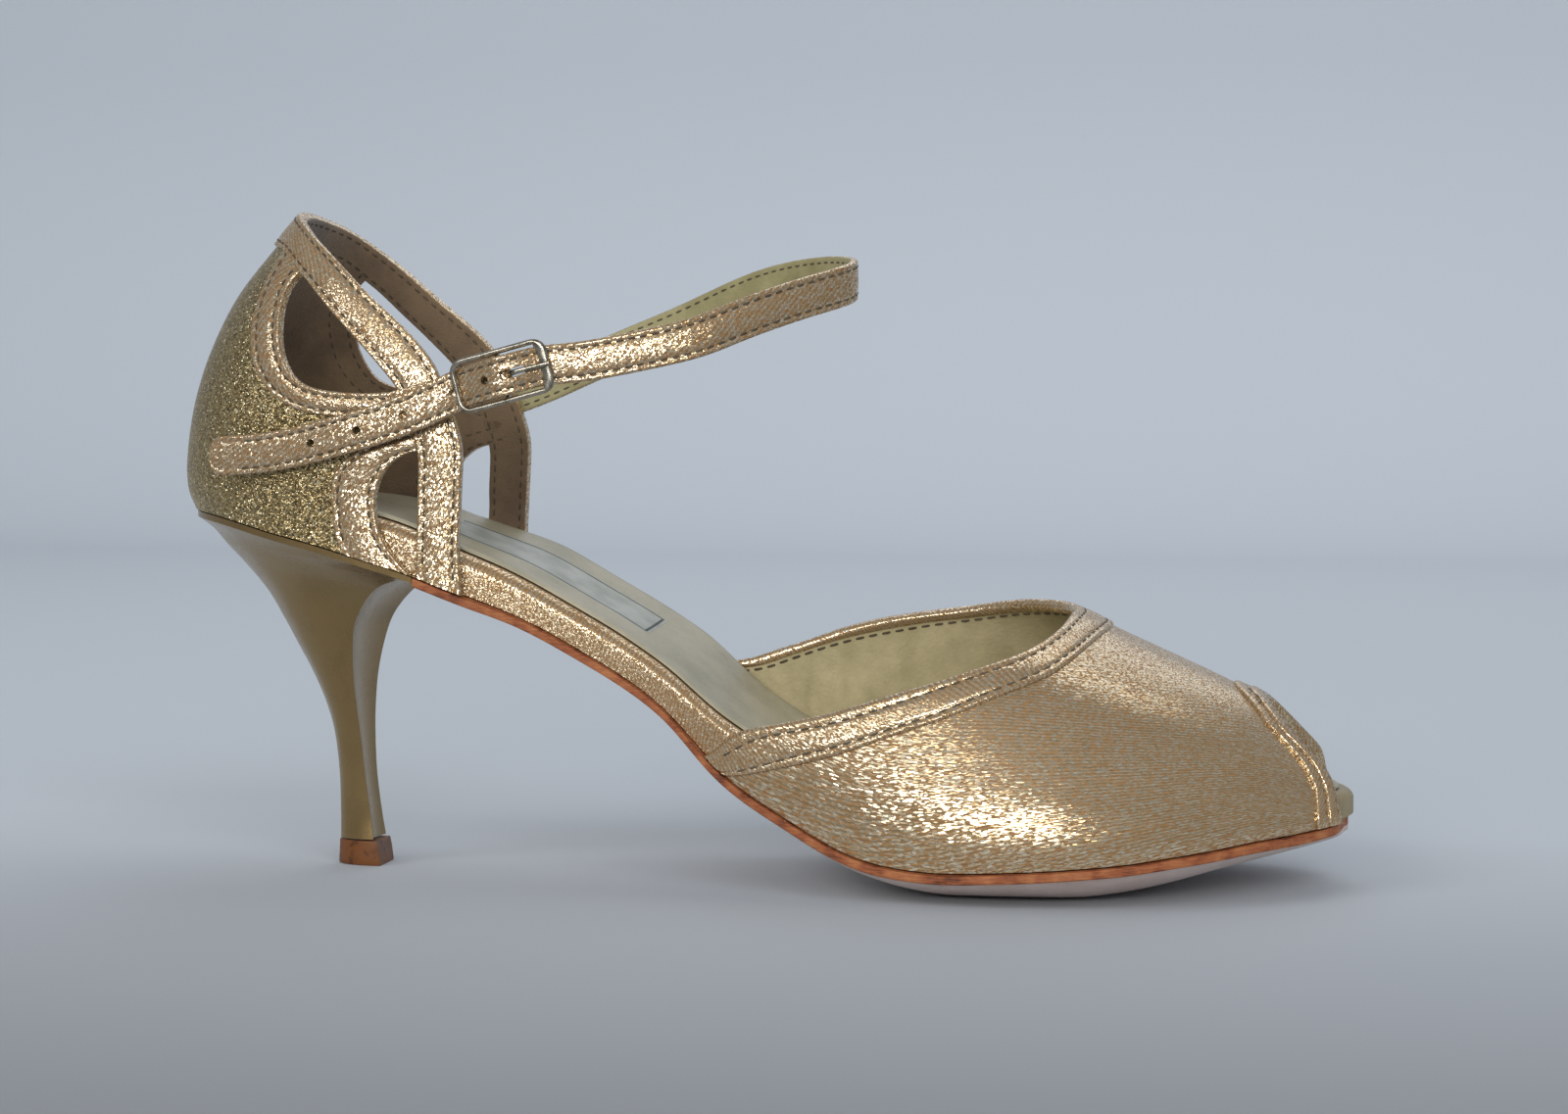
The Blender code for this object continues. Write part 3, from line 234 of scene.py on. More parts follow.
def spline(points: Union[Table, Array], per: int, closed: bool = False) -> Array:
    """A Catmull-Rom curve through points: each span is the cubic whose end slopes are half the neighbours' chord.

    Args:
        points: The points to pass through.
        per: Steps a span.
        closed: Whether the last point joins the first.

    Returns:
        The sampled curve.
    """
    p = np.array(points, float)
    p = np.vstack([p[-1], p, p[:2]]) if closed else np.vstack([2 * p[0] - p[1], p, 2 * p[-1] - p[-2]])
    t = (np.arange(per) / per)[:, None]
    spans = [
        0.5 * (2 * b + (c - a) * t + (2 * a - 5 * b + 4 * c - d) * t**2 + (3 * b - a - 3 * c + d) * t**3)
        for a, b, c, d in zip(p, p[1:], p[2:], p[3:])
    ]
    return np.vstack(spans if closed else [*spans, p[-2:-1]])


def eased(values: Array, sigma: float, even_start: bool = False) -> Array:
    """Values averaged with a bell-shaped weight; the ends stay put, by mirroring the values through them.

    Args:
        values: Samples along the first axis.
        sigma: The bell's width in samples.
        even_start: Mirror the start without turning it over, so that it ends level.

    Returns:
        The eased samples.
    """
    reach = int(3 * sigma) + 1
    bell = np.exp(-0.5 * (np.arange(-reach, reach + 1) / sigma) ** 2)
    bell /= bell.sum()
    head = values[1 : reach + 1][::-1] if even_start else 2 * values[0] - values[1 : reach + 1][::-1]
    tail = 2 * values[-1] - values[-reach - 1 : -1][::-1]
    padded = np.concatenate([head, values, tail])
    return np.convolve(padded, bell, mode="valid")


@dataclass
class Curve:
    """A table made into a smooth function: monotone cubic, sampled closely, then eased."""

    table: Table
    ease: float = 0.012
    even_start: bool = False

    def __post_init__(self) -> None:
        """Samples the table once."""
        self.x = np.linspace(self.table[0][0], self.table[-1][0], 1201)
        self.y = eased(hermite(self.table, self.x), self.ease * 1200, self.even_start)

    def __call__(self, x: Array) -> Array:
        """The value at x."""
        return np.interp(x, self.x, self.y)


def lengths(path: Array) -> Array:
    """Running length along a path of points."""
    return np.concatenate([[0], np.cumsum(np.linalg.norm(np.diff(path, axis=0), axis=1))])


def resample(path: Array, count: int, shares: Optional[Array] = None) -> Array:
    """A path read again at even shares of its length, or at the shares given.

    Args:
        path: Points in any number of dimensions.
        count: How many points to read.
        shares: Shares of the length from 0 to 1, instead of even ones.

    Returns:
        The new points.
    """
    run = lengths(path)
    at = (np.linspace(0, 1, count) if shares is None else shares) * run[-1]
    return np.stack([np.interp(at, run, path[:, k]) for k in range(path.shape[1])], 1)


def unit(vectors: Array) -> Array:
    """Vectors made one long, along the last axis."""
    return vectors / np.maximum(np.linalg.norm(vectors, axis=-1, keepdims=True), 1e-12)


def rounded_section(a: float, b: float, corner: float, arc: int = 5, flat: int = 14) -> Array:
    """A closed rounded rectangle: quarter circles joined by straights, from the middle of one short side.

    Args:
        a: Half its width.
        b: Half its thickness.
        corner: Radius of the corners.
        arc: Points a corner.
        flat: Points along each long side.

    Returns:
        Points (across, out), with the first repeated at the end.
    """
    corner = min(corner, 0.98 * b)
    turn = np.linspace(0, 0.5 * math.pi, arc)
    x, y = a - corner + corner * np.cos(turn), b - corner + corner * np.sin(turn)
    top = np.linspace(a - corner, corner - a, flat + 2)[1:-1]
    points = [(a, 0.0), *zip(x, y), *((t, b) for t in top), *zip(-x[::-1], y[::-1]), (-a, 0.0)]
    points += [(-px, -py) for px, py in points[1:-1]]
    return np.array([*points, points[0]])


# ---------------------------------------------------------------------------------------------- meshes


@dataclass
class Patch:
    """A grid of points with its UV, in metres on the surface, and the finish that it takes."""

    points: Array
    uv: Array
    finish: int = 0

    def corners(self, base: int) -> Array:
        """The grid's quads as places in a list of points that starts at base."""
        rows, columns = self.points.shape[:2]
        at = base + np.arange(rows * columns).reshape(rows, columns)
        return np.stack([at[:-1, :-1], at[:-1, 1:], at[1:, 1:], at[1:, :-1]], 2).reshape(-1, 4)


def surface_uv(points: Array) -> Array:
    """A UV for a grid: running lengths down its middle column and along its middle row."""
    rows, columns = points.shape[:2]
    v = lengths(points[:, columns // 2])
    u = lengths(points[rows // 2])
    return np.stack(np.broadcast_arrays(u[None, :], v[:, None]), 2)


def make_piece(
    name: str,
    patches: Sequence[Patch],
    finishes: Sequence[bpy.types.Material],
    replaces: Sequence[str] = (),
    sharp: float = 50.0,
) -> bpy.types.Object:
    """Puts grids into one mesh, welds their shared edges, turns the faces out and rides the piece on the shoe.

    Args:
        name: The piece's name.
        patches: Its grids.
        finishes: Its materials, by the number that each patch names.
        replaces: The CAD nodes that it stands for.
        sharp: Edges that turn more than this, in degrees, stay crisp.

    Returns:
        The finished piece.
    """
    corners, base = [], 0
    for patch in patches:
        corners.append(patch.corners(base))
        base += patch.points.shape[0] * patch.points.shape[1]
    points = np.vstack([p.points.reshape(-1, 3) for p in patches])
    uv = np.vstack([p.uv.reshape(-1, 2) for p in patches]) / UV_UNIT
    quads = np.vstack(corners)
    look = np.concatenate([np.full(len(c), p.finish) for c, p in zip(corners, patches)])
    mesh = bpy.data.meshes.new(name)
    mesh.vertices.add(len(points))
    mesh.vertices.foreach_set("co", points.ravel())
    mesh.loops.add(quads.size)
    mesh.loops.foreach_set("vertex_index", quads.ravel())
    mesh.polygons.add(len(quads))
    mesh.polygons.foreach_set("loop_start", np.arange(0, quads.size, 4))
    mesh.polygons.foreach_set("material_index", look)
    mesh.uv_layers.new(name="surface").data.foreach_set("uv", uv[quads.ravel()].ravel())
    mesh.update(calc_edges=True)
    for finish in finishes:
        mesh.materials.append(finish)
    return finish_piece(name, mesh, replaces, sharp)


def finish_piece(
    name: str, mesh: bpy.types.Mesh, replaces: Sequence[str] = (), sharp: float = 50.0
) -> bpy.types.Object:
    """Welds a mesh, turns its faces out, shades it and rides it on the shoe.

    Args:
        name: The piece's name.
        mesh: Its mesh, in place.
        replaces: The CAD nodes that it stands for.
        sharp: Edges that turn more than this, in degrees, stay crisp.

    Returns:
        The finished piece.
    """
    form = bmesh.new()
    form.from_mesh(mesh)
    bmesh.ops.remove_doubles(form, verts=form.verts, dist=1.5e-6)
    bmesh.ops.dissolve_degenerate(form, edges=form.edges, dist=1e-7)
    bmesh.ops.recalc_face_normals(form, faces=form.faces)
    form.to_mesh(mesh)
    form.free()
    mesh.shade_smooth()
    mesh.set_sharp_from_angle(angle=math.radians(sharp))
    made = bpy.data.objects.new(name, mesh)
    bpy.context.scene.collection.objects.link(made)
    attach(made, "root")
    if replaces:
        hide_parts(*replaces)
    LOG.info("%s: %d faces", name, len(mesh.polygons))
    return made


def strip_patches(
    section: Array, place: Callable[[Array, Array], Array], rows: int, width: float, cut: float
) -> list[Patch]:
    """A closed strip: a section carried along a run of rows, its ends drawn in to their middle.

    Args:
        section: Closed points (share across, out in metres), the first repeated at the end.
        place: Gives points from (row places 0 to 1, one section) arrays broadcast as (rows, section).
        rows: How many rows.
        width: The strip's width in metres, for its UV.
        cut: Faces whose out is below this take the second finish.

    Returns:
        The strip's patches.
    """
    at = np.linspace(0, 1, rows)
    grid = place(at[:, None], section[None])
    ends = [np.broadcast_to(grid[k].mean(0), grid[k].shape)[None] for k in (0, -1)]
    grid = np.concatenate([ends[0], grid, ends[1]])
    around = lengths(section * (width, 1))
    run = lengths(grid[:, 0])
    uv = np.stack(np.broadcast_arrays(run[:, None], around[None]), 2)
    out = 0.5 * (section[:-1, 1] + section[1:, 1])
    change = np.flatnonzero(np.diff((out < cut).astype(int))) + 1
    cuts = [0, *change.tolist(), len(out)]
    return [
        Patch(grid[:, a : b + 1], uv[:, a : b + 1], int(out[(a + b) // 2] < cut))
        for a, b in zip(cuts, cuts[1:])
    ]


@dataclass
class Thread:
    """A row of lockstitches: short capsules of waxed thread, half sunk into the leather."""

    pitch: float = 2.75 * MM
    length: float = 2.05 * MM
    radius: float = 0.28 * MM
    sink: float = 0.05 * MM
    rows: list[tuple[Array, Array]] = field(default_factory=list)

    def along(self, path: Array, out: Array) -> None:
        """Lays a row along a path.

        The capsule is a circle of six points carried along four stations, closed by its end points;
        each one is placed by the path's direction, its outward direction and their cross product.

        Args:
            path: Points of the row.
            out: The outward direction at each point.
        """
        run = lengths(path)
        count = max(1, int((run[-1] - 0.6 * self.pitch) / self.pitch))
        centre = run[-1] * 0.5 + (np.arange(count) - 0.5 * (count - 1)) * self.pitch
        stations = np.array([-0.5, -0.38, 0.0, 0.38, 0.5])
        girth = np.array([0.35, 0.92, 1.0, 0.92, 0.35])
        at = centre[:, None] + stations[None] * self.length
        middle = np.stack([np.interp(at, run, path[:, k]) for k in range(3)], 2)
        outward = unit(np.stack([np.interp(at, run, out[:, k]) for k in range(3)], 2))
        ahead = unit(np.gradient(middle, axis=1))
        across = unit(np.cross(ahead, outward))
        turn = np.linspace(0, 2 * math.pi, 7)[:-1]
        dip = np.array([0.9, 0.15, -0.1, 0.15, 0.9]) * self.radius + self.sink
        ring = across[:, :, None] * np.cos(turn)[:, None] + outward[:, :, None] * (0.8 * np.sin(turn))[:, None]
        points = middle[:, :, None] - (outward * dip[:, None])[:, :, None] + ring * (girth * self.radius)[:, None, None]
        corner = np.arange(5 * 6).reshape(5, 6)
        after = np.roll(corner, -1, 1)
        quads = np.stack([corner[:-1], after[:-1], after[1:], corner[1:]], 2).reshape(-1, 4)
        ends = np.array([[0, 5, 4, 1], [1, 4, 3, 2], [24, 25, 28, 29], [25, 26, 27, 28]])
        faces = np.vstack([quads, ends])
        faces = (np.arange(count)[:, None, None] * 30 + faces[None]).reshape(-1, 4)
        self.rows.append((points.reshape(-1, 3), faces))

    def build(self, name: str, finish: bpy.types.Material, slot: Slot) -> bpy.types.Object:
        """Makes one piece of all the rows laid so far.

        Args:
            name: The piece's name.
            finish: The thread's material.
            slot: Not used.

        Returns:
            The finished piece.
        """
        base, points, faces = 0, [], []
        for row_points, row_faces in self.rows:
            points.append(row_points)
            faces.append(row_faces + base)
            base += len(row_points)
        mesh = bpy.data.meshes.new(name)
        mesh.from_pydata(np.vstack(points).tolist(), [], np.vstack(faces).tolist())
        mesh.uv_layers.new(name="surface")
        mesh.materials.append(finish)
        return finish_piece(name, mesh, sharp=80)


# ---------------------------------------------------------------------------------------------- finishes


def linear(hex_colour: str) -> tuple[float, float, float, float]:
    """An sRGB colour written as hex, in linear light."""
    parts = [int(hex_colour[k : k + 2], 16) / 255 for k in (1, 3, 5)]
    return (*((c / 12.92 if c <= 0.04045 else ((c + 0.055) / 1.055) ** 2.4) for c in parts), 1.0)


def add(
    tree: bpy.types.NodeTree, kind: str, inputs: Optional[dict] = None, out: Union[int, str] = 0, **settings: object
) -> bpy.types.NodeSocket:
    """Adds a node, sets it and links it.

    Args:
        tree: The material's nodes.
        kind: The node's type, without its ShaderNode.
        inputs: A socket to link or a value to set, by the input's name or number.
        out: Which output to hand back.
        settings: The node's own properties.

    Returns:
        The chosen output.
    """
    node = tree.nodes.new("ShaderNode" + kind)
    for key, value in settings.items():
        setattr(node, key, value)
    for key, value in (inputs or {}).items():
        if isinstance(value, bpy.types.NodeSocket):
            tree.links.new(value, node.inputs[key])
        else:
            node.inputs[key].default_value = value
    return node.outputs[out]


def ramp(tree: bpy.types.NodeTree, factor: bpy.types.NodeSocket, stops: Sequence[tuple[float, str]]) -> bpy.types.NodeSocket:
    """A colour ramp through sRGB hex colours, by place."""
    output = add(tree, "ValToRGB", {"Fac": factor})
    elements = output.node.color_ramp.elements
    for k, (place, colour) in enumerate(stops):
        stop = elements[k] if k < 2 else elements.new(place)
        stop.position, stop.color = place, linear(colour)
    return output


def grey(tree: bpy.types.NodeTree, value: bpy.types.NodeSocket, span: tuple[float, float, float, float]) -> bpy.types.NodeSocket:
    """A value carried from one range to another: from low, from high, to low, to high."""
    return add(tree, "MapRange", {0: value, 1: span[0], 2: span[1], 3: span[2], 4: span[3]})


@dataclass(frozen=True)
class Finish:
    """What every finish has: a name, a colour and how rough and metallic its surface is."""

    name: str
    colour: str
    roughness: float = 0.5
    metallic: float = 0.0

    def start(self) -> tuple[bpy.types.NodeTree, bpy.types.Node, bpy.types.Material]:
        """Makes the material with its shader's own numbers set."""
        made = bpy.data.materials.new(self.name)
        made.use_nodes = True
        shader = made.node_tree.nodes["Principled BSDF"]
        shader.inputs["Base Color"].default_value = linear(self.colour)
        shader.inputs["Roughness"].default_value = self.roughness
        shader.inputs["Metallic"].default_value = self.metallic
        return made.node_tree, shader, made

    def millimetres(self, tree: bpy.types.NodeTree, turn: float = 0.0, stretch: float = 1.0) -> bpy.types.NodeSocket:
        """The piece's own UV in millimetres, turned by an angle in degrees and drawn out along it.

        Args:
            tree: The material's nodes.
            turn: Angle of the pattern.
            stretch: How many times longer the pattern is along its direction.

        Returns:
            The vector.
        """
        uv = add(tree, "UVMap", uv_map="surface")
        turned = add(tree, "Mapping", {"Vector": uv, "Rotation": (0, 0, math.radians(turn)), "Scale": (100, 100, 100)})
        return add(tree, "Mapping", {"Vector": turned, "Scale": (1, 1 / stretch, 1)})

    def place(self, tree: bpy.types.NodeTree) -> bpy.types.NodeSocket:
        """Object coordinates in millimetres."""
        here = add(tree, "TexCoord", out="Object")
        return add(tree, "Mapping", {"Vector": here, "Scale": (1000, 1000, 1000)})


@dataclass(frozen=True)
class FoilLeather(Finish):
    """Goat leather with a rolled metal foil over a fine twill emboss.

    The foil sits on the twill's crests in short flakes, each leaning its own way, so that a highlight breaks
    into cream glints and the ground between them stays tan.
    """

    ground: str = "#96724A"
    foil: str = "#CDAD7E"
    glint: str = "#F8ECD2"
    coverage: float = 0.55
    pitch_mm: float = 0.85  # twill lines; the real ones are near 0.6 mm, drawn coarser so that they show
    flake_mm: float = 0.2
    lean: float = 0.22
    turn: float = 32.0
    stain: float = 0.35

    def make(self) -> bpy.types.Material:
        """Builds the material."""
        tree, shader, made = self.start()
        flat = self.millimetres(tree, self.turn)
        drawn = self.millimetres(tree, self.turn, 1.5)
        twill = add(tree, "TexWave", {"Vector": flat, "Scale": 0.314 / self.pitch_mm, "Distortion": 0.25, "Detail": 1.0,
                                      "Detail Scale": 1.4}, out="Fac", wave_type="BANDS", bands_direction="X")
        cells = add(tree, "TexVoronoi", {"Vector": drawn, "Scale": 1 / self.flake_mm}, out="Color", feature="F1")
        parts = add(tree, "SeparateColor", {0: cells}, out=0).node.outputs
        blotch = add(tree, "TexNoise", {"Vector": flat, "Scale": 0.06, "Detail": 5.0, "Roughness": 0.6}, out="Fac")
        cover = add(tree, "Math", {0: parts[2], 1: grey(tree, blotch, (0.3, 0.7, 1 - self.coverage, 0.95 - self.coverage))},
                    operation="GREATER_THAN")
        lean = add(tree, "VectorMath", {0: cells, 1: (0.5, 0.5, 0.5)}, operation="SUBTRACT")
        lean = add(tree, "VectorMath", {0: lean, "Scale": self.lean}, operation="SCALE")
        here = add(tree, "NewGeometry", out="Normal")
        leant = add(tree, "VectorMath", {0: here, 1: lean}, operation="ADD")
        leant = add(tree, "VectorMath", {0: leant}, operation="NORMALIZE")
        grain = add(tree, "TexNoise", {"Vector": flat, "Scale": 1.6, "Detail": 3.0}, out="Fac")
        bump = add(tree, "Bump", {"Height": twill, "Strength": 0.12, "Distance": 0.00005, "Normal": leant})
        tan = ramp(tree, grain, ((0.3, self.ground), (0.7, self.colour)))
        flake = ramp(tree, parts[0], ((0.0, self.foil), (1.0, self.glint)))
        lit = self.mixed(tree, cover, tan, flake)
        shade = grey(tree, twill, (0.1, 0.9, 0.78, 1.06))
        shade = add(tree, "Math", {0: shade, 1: grey(tree, blotch, (0.35, 0.7, 1.03, 1.03 - 0.3 * self.stain))},
                    operation="MULTIPLY")
        tone = add(tree, "CombineColor", {0: shade, 1: shade, 2: shade})
        tinted = self.mixed(tree, 1.0, lit, tone, "MULTIPLY")
        tree.links.new(tinted, shader.inputs["Base Color"])
        tree.links.new(grey(tree, cover, (0, 1, 0.5, self.roughness)), shader.inputs["Roughness"])
        tree.links.new(grey(tree, cover, (0, 1, 0.2, self.metallic)), shader.inputs["Metallic"])
        tree.links.new(bump, shader.inputs["Normal"])
        return made

    @staticmethod
    def mixed(tree: bpy.types.NodeTree, factor: object, a: object, b: object, blend: str = "MIX") -> bpy.types.NodeSocket:
        """Two colours mixed by a factor."""
        output = add(tree, "Mix", {0: factor, 6: a, 7: b}, out=2, data_type="RGBA", blend_type=blend)
        return output


@dataclass(frozen=True)
class Glitter(Finish):
    """Fabric covered in hexagonal polyester glitter, 0.3 to 0.5 mm across, glued at every angle."""

    grain_mm: float = 0.3
    lean: float = 0.9

    def make(self) -> bpy.types.Material:
        """Builds the material."""
        tree, shader, made = self.start()
        here = self.place(tree)
        cells = add(tree, "TexVoronoi", {"Vector": here, "Scale": 1 / self.grain_mm}, out="Color", feature="F1")
        rim = add(tree, "TexVoronoi", {"Vector": here, "Scale": 1 / self.grain_mm}, out="Distance", feature="F1")
        parts = add(tree, "SeparateColor", {0: cells}).node.outputs
        colour = ramp(tree, parts[0], ((0.0, "#665536"), (0.3, "#9A8458"), (0.62, "#C2A878"), (0.85, "#A3966E"), (1.0, "#F6E8C4")))
        lean = add(tree, "VectorMath", {0: cells, 1: (0.5, 0.5, 0.5)}, operation="SUBTRACT")
        lean = add(tree, "VectorMath", {0: lean, "Scale": self.lean}, operation="SCALE")
        leant = add(tree, "VectorMath", {0: add(tree, "NewGeometry", out="Normal"), 1: lean}, operation="ADD")
        leant = add(tree, "VectorMath", {0: leant}, operation="NORMALIZE")
        bump = add(tree, "Bump", {"Height": rim, "Strength": 0.5, "Distance": 0.00015, "Normal": leant}, invert=True)
        tree.links.new(colour, shader.inputs["Base Color"])
        tree.links.new(grey(tree, parts[1], (0, 1, 0.16, 0.42)), shader.inputs["Roughness"])
        tree.links.new(bump, shader.inputs["Normal"])
        return made


@dataclass(frozen=True)
class Leather(Finish):
    """Plain leather: pores and a fine grain, its colour drifting lighter and darker over the hide at random."""

    dark: str = "#000000"
    grain_mm: float = 0.5
    relief: float = 0.25
    nap: float = 0.0
    crease: float = 0.0

    def make(self) -> bpy.types.Material:
        """Builds the material."""
        tree, shader, made = self.start()
        here = self.place(tree)
        drift = add(tree, "TexNoise", {"Vector": here, "Scale": 0.07, "Detail": 6.0, "Roughness": 0.62}, out="Fac")
        grain = add(tree, "TexNoise", {"Vector": here, "Scale": 1 / self.grain_mm, "Detail": 4.0}, out="Fac")
        pores = add(tree, "TexVoronoi", {"Vector": here, "Scale": 0.8 / self.grain_mm}, out="Distance", feature="F1")
        colour = ramp(tree, drift, ((0.34, self.dark), (0.6, self.colour)))
        relief = add(tree, "Math", {0: grain, 1: pores}, operation="ADD")
        if self.crease:
            fold = add(tree, "TexNoise", {"Vector": add(tree, "Mapping", {"Vector": here, "Scale": (1, 1, 0.25)}),
                                          "Scale": 0.35, "Detail": 3.0, "Distortion": 0.8}, out="Fac")
            relief = add(tree, "Math", {0: fold, 1: self.crease, 2: relief}, operation="MULTIPLY_ADD")
        bump = add(tree, "Bump", {"Height": relief, "Strength": self.relief, "Distance": 0.0002})
        tree.links.new(colour, shader.inputs["Base Color"])
        tree.links.new(grey(tree, grain, (0.3, 0.7, self.roughness - 0.06, self.roughness + 0.08)), shader.inputs["Roughness"])
        tree.links.new(bump, shader.inputs["Normal"])
        shader.inputs["Sheen Weight"].default_value = self.nap
        shader.inputs["Sheen Roughness"].default_value = 0.6
        return made


@dataclass(frozen=True)
class SoleEdge(Finish):
    """Trimmed and inked sole leather: fibres in layers under an orange-brown stain."""

    dark: str = "#4A2410"

    def make(self) -> bpy.types.Material:
        """Builds the material."""
        tree, shader, made = self.start()
        here = self.place(tree)
        layered = add(tree, "Mapping", {"Vector": here, "Scale": (0.35, 0.35, 3.0)})
        fibres = add(tree, "TexNoise", {"Vector": layered, "Scale": 1.0, "Detail": 6.0, "Roughness": 0.7}, out="Fac")
        patches = add(tree, "TexNoise", {"Vector": here, "Scale": 0.28, "Detail": 4.0}, out="Fac")
        both = add(tree, "Math", {0: fibres, 1: patches}, operation="ADD")
        colour = ramp(tree, add(tree, "Math", {0: both, 1: 0.5}, operation="MULTIPLY"),
                      ((0.34, self.dark), (0.47, self.colour), (0.62, "#B57548")))
        bump = add(tree, "Bump", {"Height": fibres, "Strength": 0.6, "Distance": 0.0003})
        tree.links.new(colour, shader.inputs["Base Color"])
        tree.links.new(grey(tree, fibres, (0.3, 0.7, 0.45, 0.75)), shader.inputs["Roughness"])
        tree.links.new(bump, shader.inputs["Normal"])
        return made


@dataclass(frozen=True)
class Lacquer(Finish):
    """Sprayed metallic lacquer on a moulded ABS heel: fine aluminium flake, a satin coat, faint orange peel."""

    def make(self) -> bpy.types.Material:
        """Builds the material."""
        tree, shader, made = self.start()
        here = self.place(tree)
        flake = add(tree, "TexNoise", {"Vector": here, "Scale": 7.0, "Detail": 2.0}, out="Fac")
        mist = add(tree, "TexNoise", {"Vector": here, "Scale": 0.12, "Detail": 4.0}, out="Fac")
        both = add(tree, "Math", {0: flake, 1: mist}, operation="ADD")
        colour = ramp(tree, add(tree, "Math", {0: both, 1: 0.5}, operation="MULTIPLY"),
                      ((0.25, "#86704A"), (0.5, self.colour), (0.75, "#9C8558")))
        peel = add(tree, "TexNoise", {"Vector": here, "Scale": 1.6, "Detail": 2.0}, out="Fac")
        bump = add(tree, "Bump", {"Height": peel, "Strength": 0.12, "Distance": 0.0001})
        tree.links.new(colour, shader.inputs["Base Color"])
        tree.links.new(grey(tree, mist, (0.3, 0.7, self.roughness - 0.04, self.roughness + 0.07)), shader.inputs["Roughness"])
        tree.links.new(bump, shader.inputs["Normal"])
        shader.inputs["Coat Weight"].default_value = 0.35
        shader.inputs["Coat Roughness"].default_value = 0.22
        return made


@dataclass(frozen=True)
class Worn(Finish):
    """Polyurethane or plated metal with handling marks: fine scratches and a little dulling."""

    dark: str = "#000000"
    marks: float = 0.3

    def make(self) -> bpy.types.Material:
        """Builds the material."""
        tree, shader, made = self.start()
        here = self.place(tree)
        dull = add(tree, "TexNoise", {"Vector": here, "Scale": 0.5, "Detail": 5.0}, out="Fac")
        lines = add(tree, "Mapping", {"Vector": here, "Rotation": (0.3, 0.5, 0.7), "Scale": (0.6, 6.0, 0.6)})
        scratch = add(tree, "TexNoise", {"Vector": lines, "Scale": 1.3, "Detail": 4.0}, out="Fac")
        colour = ramp(tree, dull, ((0.32, self.dark), (0.52, self.colour)))
        bump = add(tree, "Bump", {"Height": scratch, "Strength": self.marks, "Distance": 0.0001})
        tree.links.new(colour, shader.inputs["Base Color"])
        tree.links.new(grey(tree, scratch, (0.35, 0.7, self.roughness - 0.05, self.roughness + 0.16)), shader.inputs["Roughness"])
        tree.links.new(bump, shader.inputs["Normal"])
        return made


@dataclass(frozen=True)
class Paper(Finish):
    """Matt seamless background paper, with painted shade that darkens it towards the front."""

    def make(self) -> bpy.types.Material:
        """Builds the material."""
        tree, shader, made = self.start()
        here = self.place(tree)
        away = add(tree, "SeparateXYZ", {0: here}, out=1)
        tone = add(tree, "TexNoise", {"Vector": here, "Scale": 0.004, "Detail": 3.0}, out="Fac")
        # painted shade: the paper's colour darkens towards the front (low y), standing in for light that falls off
        # there; the ramp's dark end below is that shade
        near = grey(tree, away, (-260, 110, 0, 1))
        mixed = add(tree, "Math", {0: tone, 1: 0.12, 2: near}, operation="MULTIPLY_ADD")
        fine = add(tree, "TexNoise", {"Vector": here, "Scale": 1.2, "Detail": 3.0}, out="Fac")
        colour = ramp(tree, mixed, ((0.0, "#818386"), (0.95, self.colour)))
        bump = add(tree, "Bump", {"Height": fine, "Strength": 0.08, "Distance": 0.0002})
        tree.links.new(colour, shader.inputs["Base Color"])
        tree.links.new(bump, shader.inputs["Normal"])
        return made


@dataclass(frozen=True)
class PrintedCloth(Finish):
    """Satin label cloth with a fine weave; the thin dark line along the label's edge is laid on as separate ink panels.
    """

    line: str = "#3A3F3A"

    def make(self) -> bpy.types.Material:
        """Builds the material."""
        tree, shader, made = self.start()
        uv = add(tree, "UVMap", uv_map="surface")
        flat = add(tree, "Mapping", {"Vector": uv, "Scale": (100, 100, 100)})
        weave = add(tree, "TexWave", {"Vector": flat, "Scale": 0.314 / 0.35}, out="Fac", bands_direction="DIAGONAL")
        drift = add(tree, "TexNoise", {"Vector": flat, "Scale": 0.15, "Detail": 4.0}, out="Fac")
        colour = ramp(tree, drift, ((0.35, "#96988E"), (0.65, self.colour)))
        bump = add(tree, "Bump", {"Height": weave, "Strength": 0.2, "Distance": 0.0001})
        tree.links.new(colour, shader.inputs["Base Color"])
        tree.links.new(bump, shader.inputs["Normal"])
        return made


